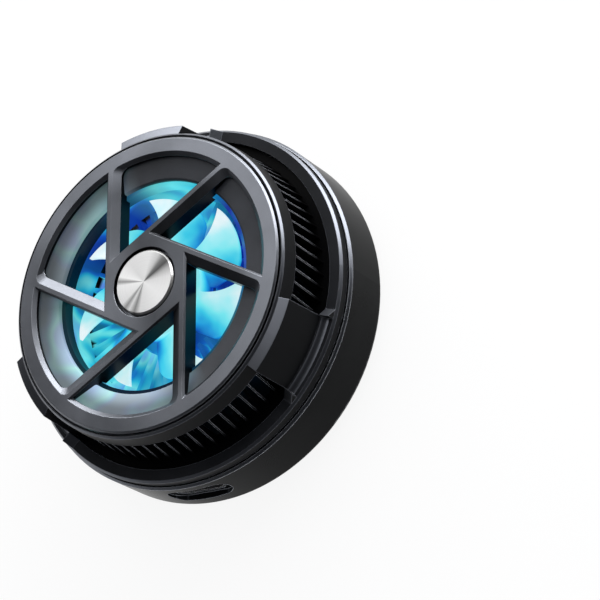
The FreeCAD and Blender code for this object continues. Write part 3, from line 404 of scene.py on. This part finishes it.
def lit_from_ring(name, colours, rough, strength, reach, floor=None, **sockets):
    """A dark surface with the light ring's light painted on as glow out to a radius. floor is the radius that
    the painted light reaches on the surface's own floor, and the height under which that floor lies."""
    made, tree, shader, mm = begin(name, Emission_Strength=1.0, **sockets)
    finish_surface(tree, shader, mm, colours, grain_mm=0.2, relief_mm=0.002, rough=rough, swing=0.05)
    radius, share, height = polar_parts(tree, mm)
    mask = add(tree, "ShaderNodeMapRange", {
        "Value": radius, **span(reach, reach - LIGHT_FADE)}).outputs["Result"]
    if floor:
        floor_reach, floor_top = floor
        wider = add(tree, "ShaderNodeMapRange", {
            "Value": radius, **span(floor_reach, floor_reach - LIGHT_FADE)}).outputs["Result"]
        below = add(tree, "ShaderNodeMath", {0: height, 1: floor_top}, operation="LESS_THAN").outputs[0]
        wider = add(tree, "ShaderNodeMath", {0: wider, 1: below}, operation="MULTIPLY").outputs[0]
        mask = add(tree, "ShaderNodeMath", {0: mask, 1: wider}, operation="MAXIMUM").outputs[0]
    # The painted light lies unevenly, down to 0.6 of its strength.
    drift = add(tree, "ShaderNodeTexNoise", {"Vector": mm, "Scale": 0.14, "Detail": 1.0}).outputs["Fac"]
    uneven = add(tree, "ShaderNodeMapRange", {
        "Value": drift, **span(0.3, 0.7, 0.6 * strength, strength)}).outputs["Result"]
    # Painted light and shade: faces turned to the lamps glow brightest, and painted stray light reaches all
    # but those turned right away.
    to_light = add(tree, "ShaderNodeVectorMath", {0: (0, 0, LAMP_Z), 1: mm}, operation="SUBTRACT").outputs[0]
    to_light = add(tree, "ShaderNodeVectorMath", {0: to_light}, operation="NORMALIZE").outputs[0]
    face = add(tree, "ShaderNodeNewGeometry").outputs["True Normal"]
    turn = add(tree, "ShaderNodeVectorMath", {0: face, 1: to_light}, operation="DOT_PRODUCT").outputs["Value"]
    facing = add(tree, "ShaderNodeMapRange", {"Value": turn, **span(-1.4, 0.1)}).outputs["Result"]
    for part in (uneven, facing):
        mask = add(tree, "ShaderNodeMath", {0: mask, 1: part}, operation="MULTIPLY").outputs[0]
    colour = lamp_colour(tree, mm, share, patchy=0.65)
    glow = add(tree, "ShaderNodeMix", {
        "Factor": mask, MIX_A: BLACK, MIX_B: colour}, data_type="RGBA").outputs[MIXED]
    feed(shader, Emission_Color=glow)
    return made


def fan_frame_plastic():
    # Black moulded nylon, with the light ring's blue and teal light painted on as glow.
    return lit_from_ring("moulded_nylon_fan_frame", ("#101316", "#1b1f24"),
                         rough=0.5, strength=1.1, reach=DUCT_R + 0.5)


def sink_metal():
    # Black anodised aluminium fins: matt and dark at the vents, with the light ring's blue light painted on
    # as glow under the fan.
    return lit_from_ring("black_anodised_heat_sink", ("#17181b", "#212327"),
                         rough=0.45, strength=1.0, reach=18.4, floor=(19.2, SINK_FLOOR), Metallic=0.6)


def bezel_plastic():
    # Smooth dark moulded plastic with the ring's light painted on as glow that spills over its inner edge and
    # fades outwards.
    spill_mm = 2.9
    made, tree, shader, mm = begin("smooth_moulded_bezel", Metallic=0.0, Emission_Strength=1.0,
                                   Specular_IOR_Level=0.3)
    finish_surface(tree, shader, mm, ("#2c2e32", "#383a3f"), 0.12, 0.001, 0.38, 0.04)
    radius, share = polar_parts(tree, mm)[:2]
    colour = lamp_colour(tree, mm, share, patchy=0.8)
    pale = add(tree, "ShaderNodeMix", {
        "Factor": 0.5, MIX_A: colour, MIX_B: "#e6fcf2"}, data_type="RGBA").outputs[MIXED]
    # All over the lit side the cone has a painted glow at 0.24 to 0.31 of full light, and at the opening 0.66
    # more.
    near = add(tree, "ShaderNodeMapRange", {
        "Value": radius, **span(OPENING_R + spill_mm, OPENING_R)},
        interpolation_type="SMOOTHSTEP").outputs["Result"]
    wide = add(tree, "ShaderNodeMapRange", {
        "Value": radius, **span(WINDOW_R, OPENING_R, 0.24, 0.31)}).outputs["Result"]
    reach = add(tree, "ShaderNodeMath", {0: near, 1: 0.66, 2: wide}, operation="MULTIPLY_ADD").outputs[0]
    # Painted light: the near left of the cone gets most of the glow, the far left some and the right side
    # none.
    lit_side = add(tree, "ShaderNodeValToRGB", {"Fac": share}, greys(
        (0.27, 0.0), (0.34, 0.42), (0.44, 0.3), (0.50, 0.2), (0.58, 0.8), (0.65, 1.0), (0.75, 0.95),
        (0.84, 0.0))).outputs["Color"]
    mask = add(tree, "ShaderNodeMath", {0: reach, 1: lit_side}, operation="MULTIPLY").outputs[0]
    glow = add(tree, "ShaderNodeMix", {
        "Factor": mask, MIX_A: BLACK, MIX_B: pale}, data_type="RGBA").outputs[MIXED]
    feed(shader, Emission_Color=glow)
    return made


def wound_copper():
    # Enamelled copper wire laid in tight turns: ribs of warm metal, darker between them as painted shade.
    made, tree, shader, mm = begin("enamelled_copper_wire", Metallic=1.0)
    radius = polar_parts(tree, mm)[0]
    wave = add(tree, "ShaderNodeMath", {0: radius, 1: math.tau / COIL_PITCH}, operation="MULTIPLY").outputs[0]
    ribs = add(tree, "ShaderNodeMath", {0: wave}, operation="COSINE").outputs[0]
    tone = add(tree, "ShaderNodeMapRange", {"Value": ribs, **span(-1.0, 1.0)}).outputs["Result"]
    colour = add(tree, "ShaderNodeValToRGB", {"Fac": tone}, [(0.0, "#4a1f0c"), (0.6, "#c0703c")])
    gloss = add(tree, "ShaderNodeMapRange", {"Value": tone, **span(0.0, 1.0, 0.5, 0.28)})
    bump = add(tree, "ShaderNodeBump", {"Height": tone, "Distance": 0.1 * MM})
    feed(shader, Base_Color=colour.outputs["Color"], Roughness=gloss.outputs["Result"],
         Normal=bump.outputs["Normal"])
    return made


def circuit_board_mask(name, mask, track):
    # Solder mask over copper tracks on glass-fibre laminate: glossy colour with slightly raised lines.
    made, tree, shader, mm = begin(name, Metallic=0.0, Coat_Weight=0.4, Coat_Roughness=0.15)
    cells = add(tree, "ShaderNodeTexVoronoi", {"Vector": mm, "Scale": 0.55},
                feature="DISTANCE_TO_EDGE", distance="EUCLIDEAN").outputs["Distance"]
    line = add(tree, "ShaderNodeMapRange", {"Value": cells, **span(0.07, 0.04)}).outputs["Result"]
    colour = add(tree, "ShaderNodeMix", {
        "Factor": line, MIX_A: mask, MIX_B: track}, data_type="RGBA").outputs[MIXED]
    gloss = add(tree, "ShaderNodeMapRange", {"Value": line, **span(0.0, 1.0, 0.42, 0.3)})
    bump = add(tree, "ShaderNodeBump", {"Height": line, "Distance": 0.03 * MM})
    feed(shader, Base_Color=colour, Roughness=gloss.outputs["Result"], Normal=bump.outputs["Normal"])
    return made


# After the colours of a grained finish come its grain and relief in millimetres, its roughness and how
# far that swings.
finishes = {
    "smoked_glass": smoked_glass(),
    "printed_film": film_ink(),
    "polished_trim": trim_coat(),
    # Black acrylic foam tape: matt, with an open-cell look.
    "adhesive": surface("black_acrylic_foam_tape", ("#101010", "#1c1c1c"), 0.15, 0.02, 0.85, 0.05),
    "dark_satin_metal": rear_shell_coat(),
    # Nickel plating on sintered magnets: warm silver with a faint orange-peel surface.
    "nickel_magnet": surface("nickel_plated_magnet", ("#a8a49c", "#bab6ae"), 0.4, 0.002, 0.25, 0.06,
                             Metallic=1.0),
    # Cold-rolled steel as stamped: grey, with a faint rolled grain along one direction.
    "plain_steel": surface("cold_rolled_steel", ("#77787a", "#8d8e90"), 0.12, 0.003, 0.38, 0.08,
                           Metallic=1.0, stretch=(0.2, 1, 1)),
    "copper_wire": wound_copper(),
    # Sintered ferrite: near-black ceramic with a fine dull grain.
    "dark_ferrite": surface("sintered_ferrite", ("#1d1d20", "#2a2a2e"), 0.08, 0.004, 0.6, 0.08),
    # Silicone thermal pad: soft blue-grey rubber with a waxy sheen.
    "thermal_pad": surface("silicone_thermal_pad", ("#7d8f9c", "#93a5b2"), 0.5, 0.01, 0.7, 0.05),
    # Milled aluminium: pale metal with straight cutter lines.
    "bare_aluminium": surface("milled_aluminium", ("#c3c5c8", "#d8dadc"), 0.25, 0.003, 0.3, 0.06,
                              Metallic=1.0, stretch=(0.1, 1, 1)),
    # Fired alumina: white, slightly translucent-looking ceramic with a fine tooth.
    "white_ceramic": surface("fired_alumina", ("#e2e1dc", "#efeeea"), 0.1, 0.003, 0.45, 0.05),
    # Tinned semiconductor posts: dull grey metal with small crystals.
    "semiconductor": surface("tinned_semiconductor", ("#6a6b70", "#85868c"), 0.3, 0.006, 0.4, 0.1,
                             Metallic=0.9),
    # Closed-cell foam: black, soft, with tiny pits.
    "black_foam": surface("closed_cell_foam", ("#0e0e0e", "#1b1b1b"), 0.2, 0.05, 0.95, 0.03),
    # Glass-coated sensor bead: glossy reddish brown.
    "glass_bead": surface("glass_coated_bead", ("#7a2c14", "#93401f"), 0.5, 0.002, 0.15, 0.04),
    "circuit_board": circuit_board_mask("green_solder_mask", "#0c3a22", "#1a6a3c"),
    "white_circuit_board": circuit_board_mask("white_solder_mask", "#d9dad6", "#c2c4c0"),
    # Moulded epoxy: black and matt with a spark-eroded grain.
    "black_resin": surface("moulded_epoxy", ("#141416", "#1f2022"), 0.08, 0.006, 0.6, 0.08),
    # Barium titanate blocks: tan, smooth ceramic.
    "tan_ceramic": surface("tan_capacitor_ceramic", ("#93744c", "#a9895e"), 0.1, 0.002, 0.4, 0.06),
    # Natural nylon: off-white with a soft sheen.
    "white_nylon": surface("natural_nylon", ("#d5d2c4", "#e2dfd2"), 0.2, 0.004, 0.5, 0.05),
    # Nickel-plated drawn steel: bright with fine draw lines along the plug's way in, and edges lightened as
    # painted highlight.
    "port_steel": surface("nickel_plated_steel", ("#9fa0a2", "#b9babc"), 0.12, 0.003, 0.22, 0.05,
                          edge_mm=0.08, edge="#e0e0e2", Metallic=1.0, stretch=(1, 0.08, 1)),
    "black_aluminium": sink_metal(),
    # Zinc-plated screw steel: cool grey, fine turned grain.
    "screw_steel": surface("zinc_plated_screw_steel", ("#7c7f84", "#96999e"), 0.1, 0.004, 0.3, 0.07,
                           Metallic=1.0),
    "black_plastic": fan_frame_plastic(),
    # Sintered bronze: warm brown metal with oil-filled pores.
    "sintered_bronze": surface("sintered_bronze", ("#7a5a2c", "#9c7840"), 0.09, 0.01, 0.5, 0.08,
                               Metallic=1.0),
    "clear_blade_plastic": blade_plastic(),
    "milky_light_guide": light_guide(),
    # White light emitter: pale phosphor in clear resin.
    "light_emitter": surface("phosphor_emitter", ("#e6ecd0", "#f2f6e0"), 0.2, 0.004, 0.35, 0.05,
                             Emission_Strength=0.5, Emission_Color="#bfeaff"),
    # Polyimide flat cable: amber, glossy, with copper showing as lines along it.
    "amber_flex": surface("polyimide_flat_cable", ("#7c4410", "#a5631c"), 0.4, 0.004, 0.3, 0.05,
                          stretch=(1, 0.05, 1)),
    "satin_bezel_plastic": bezel_plastic(),
    "gunmetal_grille": gunmetal_grille(),
    "spun_aluminium": spun_aluminium(),
    "gunmetal_shell": gunmetal_shell(),
    "gunmetal_fins": gunmetal_fins(),
}
slot_of = {part["node"]: part["material_slot"] for part in frame["record"]["subparts"]}
for node, shown in frame["nodes"].items():
    shown.data.materials.clear()
    shown.data.materials.append(finishes[slot_of[node]])


# Pieces that repeat: the print behind the glass and the contacts in the port

def new_group(name, sizes):
    """A geometry tree with named inputs of given kinds and a mesh going out, and its two end nodes."""
    tree = bpy.data.node_groups.new(name, "GeometryNodeTree")
    tree.interface.new_socket("Geometry", in_out="OUTPUT", socket_type="NodeSocketGeometry")
    for label, kind in sizes.items():
        tree.interface.new_socket(label, in_out="INPUT", socket_type="NodeSocket" + kind)
    return tree, tree.nodes.new("NodeGroupInput"), tree.nodes.new("NodeGroupOutput")


def grown(name, tree, values):
    """Plain mesh object that a geometry tree makes with the given values."""
    seed = bpy.data.objects.new(name + "_seed", bpy.data.meshes.new(name + "_seed"))
    bpy.context.scene.collection.objects.link(seed)
    modifier = seed.modifiers.new("grow", "NODES")
    modifier.node_group = tree
    for item in tree.interface.items_tree:
        if item.in_out == "INPUT":
            modifier[item.identifier] = values[item.name]
    ready = bpy.context.evaluated_depsgraph_get()
    mesh = bpy.data.meshes.new_from_object(seed.evaluated_get(ready))
    seed.modifiers.clear()
    bpy.data.objects.remove(seed)
    mesh.materials.clear()
    mesh.materials.append(values["Material"])
    mesh.polygons.foreach_set("material_index", [0] * len(mesh.polygons))
    made = bpy.data.objects.new(name, mesh)
    bpy.context.scene.collection.objects.link(made)
    return made


def close_tree(tree, geometry, size, result):
    """Makes instances real, gives them their material and sends them out of the tree."""
    solid = add(tree, "GeometryNodeRealizeInstances", {"Geometry": geometry}).outputs["Geometry"]
    done = add(tree, "GeometryNodeSetMaterial", {"Geometry": solid, "Material": size["Material"]})
    tree.links.new(done.outputs["Geometry"], result.inputs["Geometry"])


def trace_paths(tree, size):
    """Middles of the printed lines, and which corner each point is: 0 the inner end, 1 and 2 the jog and 3
    the outer end."""
    line = add(tree, "GeometryNodeMeshLine", {"Count": 4}).outputs["Mesh"]
    path = add(tree, "GeometryNodeMeshToCurve", {"Mesh": line}).outputs["Curve"]
    order = add(tree, "GeometryNodeInputIndex").outputs["Index"]
    kept = add(tree, "GeometryNodeStoreNamedAttribute", {
        "Geometry": path, "Name": "corner", "Value": order},
        data_type="INT", domain="POINT").outputs["Geometry"]
    copies = add(tree, "GeometryNodeDuplicateElements", {
        "Geometry": kept, "Amount": size["Count"]}, domain="SPLINE").outputs
    numbered = add(tree, "GeometryNodeStoreNamedAttribute", {
        "Geometry": copies["Geometry"], "Name": "number", "Value": copies["Duplicate Index"]},
        data_type="INT", domain="CURVE").outputs["Geometry"]
    corner, index = [
        add(tree, "GeometryNodeInputNamedAttribute", {"Name": name}, data_type="INT").outputs["Attribute"]
        for name in ("corner", "number")]

    # How far out the jog and the outer end lie differs from line to line.
    wander = add(tree, "FunctionNodeRandomValue", {
        "ID": index, "Seed": size["Seed"]}, data_type="FLOAT").outputs[1]
    other_seed = add(tree, "ShaderNodeMath", {0: size["Seed"], 1: 1.0}, operation="ADD").outputs[0]
    reach = add(tree, "FunctionNodeRandomValue", {
        "ID": index, "Seed": other_seed}, data_type="FLOAT").outputs[1]
    bend = add(tree, "ShaderNodeMath", {
        0: wander, 1: size["Bend Swing"], 2: size["Bend Radius"]}, operation="MULTIPLY_ADD").outputs[0]
    after = add(tree, "ShaderNodeMath", {0: bend, 1: size["Jog"]}, operation="ADD").outputs[0]
    end = add(tree, "ShaderNodeMath", {
        0: reach, 1: size["End Swing"], 2: size["Outer Radius"]}, operation="MULTIPLY_ADD").outputs[0]
    radius = add(tree, "GeometryNodeIndexSwitch", data_type="FLOAT")
    radius.index_switch_items.new()
    radius.index_switch_items.new()
    tree.links.new(corner, radius.inputs["Index"])
    for place, value in enumerate((size["Inner Radius"], bend, after, end)):
        tree.links.new(value, radius.inputs[place + 1])

    # Past its jog a line lies to one side, and the next line to the other.
    past = add(tree, "ShaderNodeMath", {0: corner, 1: 1.5}, operation="GREATER_THAN").outputs[0]
    odd = add(tree, "ShaderNodeMath", {0: index, 1: 2.0}, operation="FLOORED_MODULO").outputs[0]
    way = add(tree, "ShaderNodeMath", {0: odd, 1: 2.0, 2: -1.0}, operation="MULTIPLY_ADD").outputs[0]
    aside = add(tree, "ShaderNodeMath", {0: past, 1: way}, operation="MULTIPLY").outputs[0]
    aside = add(tree, "ShaderNodeMath", {0: aside, 1: size["Jog"]}, operation="MULTIPLY").outputs[0]
    flat = add(tree, "ShaderNodeCombineXYZ", {
        0: radius.outputs[0], 1: aside, 2: size["Height"]}).outputs[0]
    step = add(tree, "ShaderNodeMath", {0: math.tau, 1: size["Count"]}, operation="DIVIDE").outputs[0]
    turn = add(tree, "ShaderNodeMath", {0: index, 1: step}, operation="MULTIPLY").outputs[0]
    place = add(tree, "ShaderNodeVectorRotate", {
        "Vector": flat, "Angle": turn}, rotation_type="Z_AXIS").outputs[0]
    laid = add(tree, "GeometryNodeSetPosition", {
        "Geometry": numbered, "Position": place}).outputs["Geometry"]
    return laid, corner


def trace_tree():
    """Printed lines that run outwards from a ring, jog sideways and end in ring pads."""
    lengths = ("Inner Radius", "Bend Radius", "Outer Radius", "Bend Swing", "End Swing", "Jog", "Line Width",
               "Ink Thickness", "Pad Radius", "Height")
    tree, given, result = new_group("printed_traces", {
        "Count": "Int", **dict.fromkeys(lengths, "Float"), "Seed": "Int", "Material": "Material"})
    size = given.outputs
    laid, corner = trace_paths(tree, size)
    section = add(tree, "GeometryNodeCurvePrimitiveQuadrilateral", {
        0: size["Line Width"], 1: size["Ink Thickness"]}).outputs["Curve"]
    strokes = add(tree, "GeometryNodeCurveToMesh", {
        "Curve": laid, "Profile Curve": section, "Fill Caps": True}).outputs["Mesh"]
    ends = add(tree, "GeometryNodeCurveToPoints", {"Curve": laid}, mode="EVALUATED").outputs["Points"]
    at_end = add(tree, "ShaderNodeMath", {0: corner, 1: 2.5}, operation="GREATER_THAN").outputs[0]
    hoop = add(tree, "GeometryNodeCurvePrimitiveCircle", {
        "Resolution": 32, "Radius": size["Pad Radius"]}).outputs["Curve"]
    pad = add(tree, "GeometryNodeCurveToMesh", {"Curve": hoop, "Profile Curve": section}).outputs["Mesh"]
    pads = add(tree, "GeometryNodeInstanceOnPoints", {
        "Points": ends, "Selection": at_end, "Instance": pad}).outputs["Instances"]
    rim = add(tree, "GeometryNodeCurvePrimitiveCircle", {
        "Resolution": 128, "Radius": size["Inner Radius"]}).outputs["Curve"]
    lift = add(tree, "ShaderNodeCombineXYZ", {2: size["Height"]}).outputs[0]
    rim = add(tree, "GeometryNodeSetPosition", {"Geometry": rim, "Offset": lift}).outputs["Geometry"]
    rim = add(tree, "GeometryNodeCurveToMesh", {"Curve": rim, "Profile Curve": section}).outputs["Mesh"]
    both = add(tree, "GeometryNodeJoinGeometry")
    for part in (strokes, pads, rim):
        tree.links.new(part, both.inputs["Geometry"])
    close_tree(tree, both.outputs["Geometry"], size, result)
    return tree


def contact_tree():
    """Flat bars side by side at an even pitch, in two rows that face up and down."""
    tree, given, result = new_group("plug_contacts", {
        "Count": "Int", "Pitch": "Float", "Bar Size": "Vector", "Middle": "Vector", "Row Rise": "Float",
        "Material": "Material"})
    size = given.outputs
    gaps = add(tree, "ShaderNodeMath", {0: size["Count"], 1: 1.0}, operation="SUBTRACT").outputs[0]
    run = add(tree, "ShaderNodeMath", {0: gaps, 1: size["Pitch"]}, operation="MULTIPLY").outputs[0]
    back = add(tree, "ShaderNodeMath", {0: run, 1: -0.5}, operation="MULTIPLY").outputs[0]
    stride = add(tree, "ShaderNodeCombineXYZ", {0: size["Pitch"]}).outputs[0]
    points = add(tree, "GeometryNodeJoinGeometry")
    for way in (1.0, -1.0):
        rise = add(tree, "ShaderNodeMath", {0: size["Row Rise"], 1: way}, operation="MULTIPLY").outputs[0]
        start = add(tree, "ShaderNodeCombineXYZ", {0: back, 2: rise}).outputs[0]
        start = add(tree, "ShaderNodeVectorMath", {0: size["Middle"], 1: start}, operation="ADD").outputs[0]
        row = add(tree, "GeometryNodeMeshLine", {
            "Count": size["Count"], "Start Location": start, "Offset": stride}).outputs["Mesh"]
        tree.links.new(row, points.inputs["Geometry"])
    bar = add(tree, "GeometryNodeMeshCube", {"Size": size["Bar Size"]}).outputs["Mesh"]
    bars = add(tree, "GeometryNodeInstanceOnPoints", {
        "Points": points.outputs["Geometry"], "Instance": bar}).outputs["Instances"]
    close_tree(tree, bars, size, result)
    return tree


def film_disc():
    """The film as a thin disc whose glass side is set back by the ink's thickness."""
    segments = 128
    angles = [math.tau * i / segments for i in range(segments)]
    heights = [(GLASS_T + INK_T) * MM, (GLASS_T + FILM_T) * MM]
    points = [(math.cos(a) * FILM_R * MM, math.sin(a) * FILM_R * MM, z) for z in heights for a in angles]
    walls = [(i, (i + 1) % segments, segments + (i + 1) % segments, segments + i) for i in range(segments)]
    caps = [tuple(reversed(range(segments))), tuple(range(segments, 2 * segments))]
    mesh = bpy.data.meshes.new("film_disc")
    mesh.from_pydata(points, [], walls + caps)
    mesh.materials.append(finishes["printed_film"])
    film = bpy.data.objects.new("film_disc", mesh)
    bpy.context.scene.collection.objects.link(film)
    return film


def dress_film():
    """Black film with light grey printed lines, seen through the glass."""
    film = film_disc()
    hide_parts("print_film")
    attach(film, "housing")
    lines = grown("film_lines", trace_tree(), {
        "Count": 24, "Seed": 5, "Material": print_ink(),
        "Inner Radius": 8.0 * MM, "Bend Radius": 9.5 * MM, "Outer Radius": 17.0 * MM,
        "Bend Swing": 5.0 * MM, "End Swing": 3.6 * MM, "Jog": 1.1 * MM,
        "Line Width": 0.32 * MM, "Ink Thickness": INK_T * MM, "Pad Radius": 0.65 * MM,
        "Height": (GLASS_T + INK_T / 2) * MM})
    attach(lines, "housing")


def dress_port():
    """Twelve gold-plated contacts on each face of the port's tongue."""
    contact_t = 0.03
    contact_y = -26.8
    # Gold flash on copper: warm, bright and smooth.
    gold = surface("gold_plated_contact", ("#c9a24c", "#dcb965"), 0.1, 0.001, 0.22, 0.04, Metallic=1.0)
    contacts = grown("port_contacts", contact_tree(), {
        "Count": 12, "Pitch": 0.5 * MM, "Bar Size": (0.26 * MM, 3.6 * MM, contact_t * MM),
        "Middle": (0.0, contact_y * MM, PORT_Z * MM), "Row Rise": (TONGUE_T / 2 + contact_t / 2) * MM,
        "Material": gold})
    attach(contacts, "housing")


dress_film()
dress_port()


# Floor, light and camera

def background_rays(tree):
    """1 for rays that show what is behind the object: from the camera, from a gloss and through glass."""
    path = add(tree, "ShaderNodeLightPath").outputs
    seen = path["Is Camera Ray"]
    for ray in ("Is Glossy Ray", "Is Transmission Ray"):
        seen = add(tree, "ShaderNodeMath", {0: seen, 1: path[ray]}, operation="MAXIMUM").outputs[0]
    return seen


def pale_floor():
    """Wide pale floor that reads white to the camera and keeps a soft shadow."""
    half = 3.0
    gap = 0.00005
    paper_share = 0.9
    mesh = bpy.data.meshes.new("studio_floor")
    corners = [(x * half, y * half, 0) for x, y in ((-1, -1), (1, -1), (1, 1), (-1, 1))]
    mesh.from_pydata(corners, [], [(0, 1, 2, 3)])
    floor = bpy.data.objects.new("studio_floor", mesh)
    bpy.context.scene.collection.objects.link(floor)
    floor.location.z = cad_low.z - gap
    made, tree, shader, mm = begin("matt_white_floor", Roughness=0.9, Specular_IOR_Level=0.1)
    speck = add(tree, "ShaderNodeTexNoise", {"Vector": mm, "Scale": 1 / 50, "Detail": 2.0}).outputs["Fac"]
    white = add(tree, "ShaderNodeValToRGB", {"Fac": speck}, [(0.3, "#f1f1f1"), (0.7, "#f4f4f4")])
    feed(shader, Base_Color=white.outputs["Color"])
    share = add(tree, "ShaderNodeMath", {
        0: background_rays(tree), 1: paper_share}, operation="MULTIPLY").outputs[0]
    paper = add(tree, "ShaderNodeEmission", {"Color": WHITE, "Strength": 1.0}).outputs[0]
    mixed = add(tree, "ShaderNodeMixShader", {0: share, 1: shader.outputs[0], 2: paper}).outputs[0]
    tree.links.new(mixed, tree.nodes["Material Output"].inputs["Surface"])
    mesh.materials.append(made)


def studio_world():
    """Tent round the object: white at the horizon, dark cloth overhead, and a dim even light."""
    world = bpy.data.worlds.new("studio_tent")
    bpy.context.scene.world = world
    world.use_nodes = True
    tree = world.node_tree
    way = add(tree, "ShaderNodeTexCoord").outputs["Generated"]
    rise = add(tree, "ShaderNodeSeparateXYZ", {0: way}).outputs["Z"]
    tent = add(tree, "ShaderNodeValToRGB", {"Fac": rise}, [
        (0.03, WHITE), (0.08, "#a8a8aa"), (0.16, "#6a6a6c"), (0.34, "#3c3c3e")]).outputs["Color"]
    shade = add(tree, "ShaderNodeMix", {
        "Factor": background_rays(tree), MIX_A: "#a2a4a8", MIX_B: tent}, data_type="RGBA").outputs[MIXED]
    tree.links.new(shade, tree.nodes["Background"].inputs["Color"])


def softbox(name, place, size, power):
    """Rectangular lamp that faces the middle of the object. Its place and size are in metres."""
    middle = Vector((0, 0, 0.014))
    data = bpy.data.lights.new(name, "AREA")
    data.shape = "RECTANGLE"
    data.size, data.size_y = size
    data.energy = power
    lamp = bpy.data.objects.new(name, data)
    bpy.context.scene.collection.objects.link(lamp)
    lamp.location = place
    lamp.rotation_euler = (middle - Vector(place)).to_track_quat("-Z", "Y").to_euler()


def photo_camera():
    """Camera at the photo's viewing angle, with the long lens and the framing that the photo has."""
    data = bpy.data.cameras.new("photo_camera")
    data.lens = 120.0
    data.sensor_width = 36.0
    data.clip_start = 0.01
    data.clip_end = 10.0
    camera = bpy.data.objects.new("photo_camera", data)
    bpy.context.scene.collection.objects.link(camera)
    camera.location = (0.17083, -0.12079, 0.26410)
    camera.rotation_euler = [math.radians(a) for a in (21.4546, 30.7911, -0.6258)]
    bpy.context.scene.camera = camera


pale_floor()
studio_world()
softbox("far_right_strip", (0.282, 0.488, 0.219), (0.54, 0.32), 4.3)
softbox("far_strip", (-0.078, 0.558, 0.219), (0.28, 0.32), 1.0)
softbox("left_strip", (-0.28, 0.466, 0.268), (0.20, 0.20), 0.6)
softbox("key_softbox", (-0.127, 0.308, 0.372), (0.40, 0.40), 0.8)
softbox("high_panel", (0.145, 0.185, 0.455), (0.25, 0.25), 0.12)
softbox("overhead_panel", (0.023, 0.093, 0.552), (0.20, 0.20), 0.16)
photo_camera()
bpy.context.scene.view_settings.view_transform = "Standard"
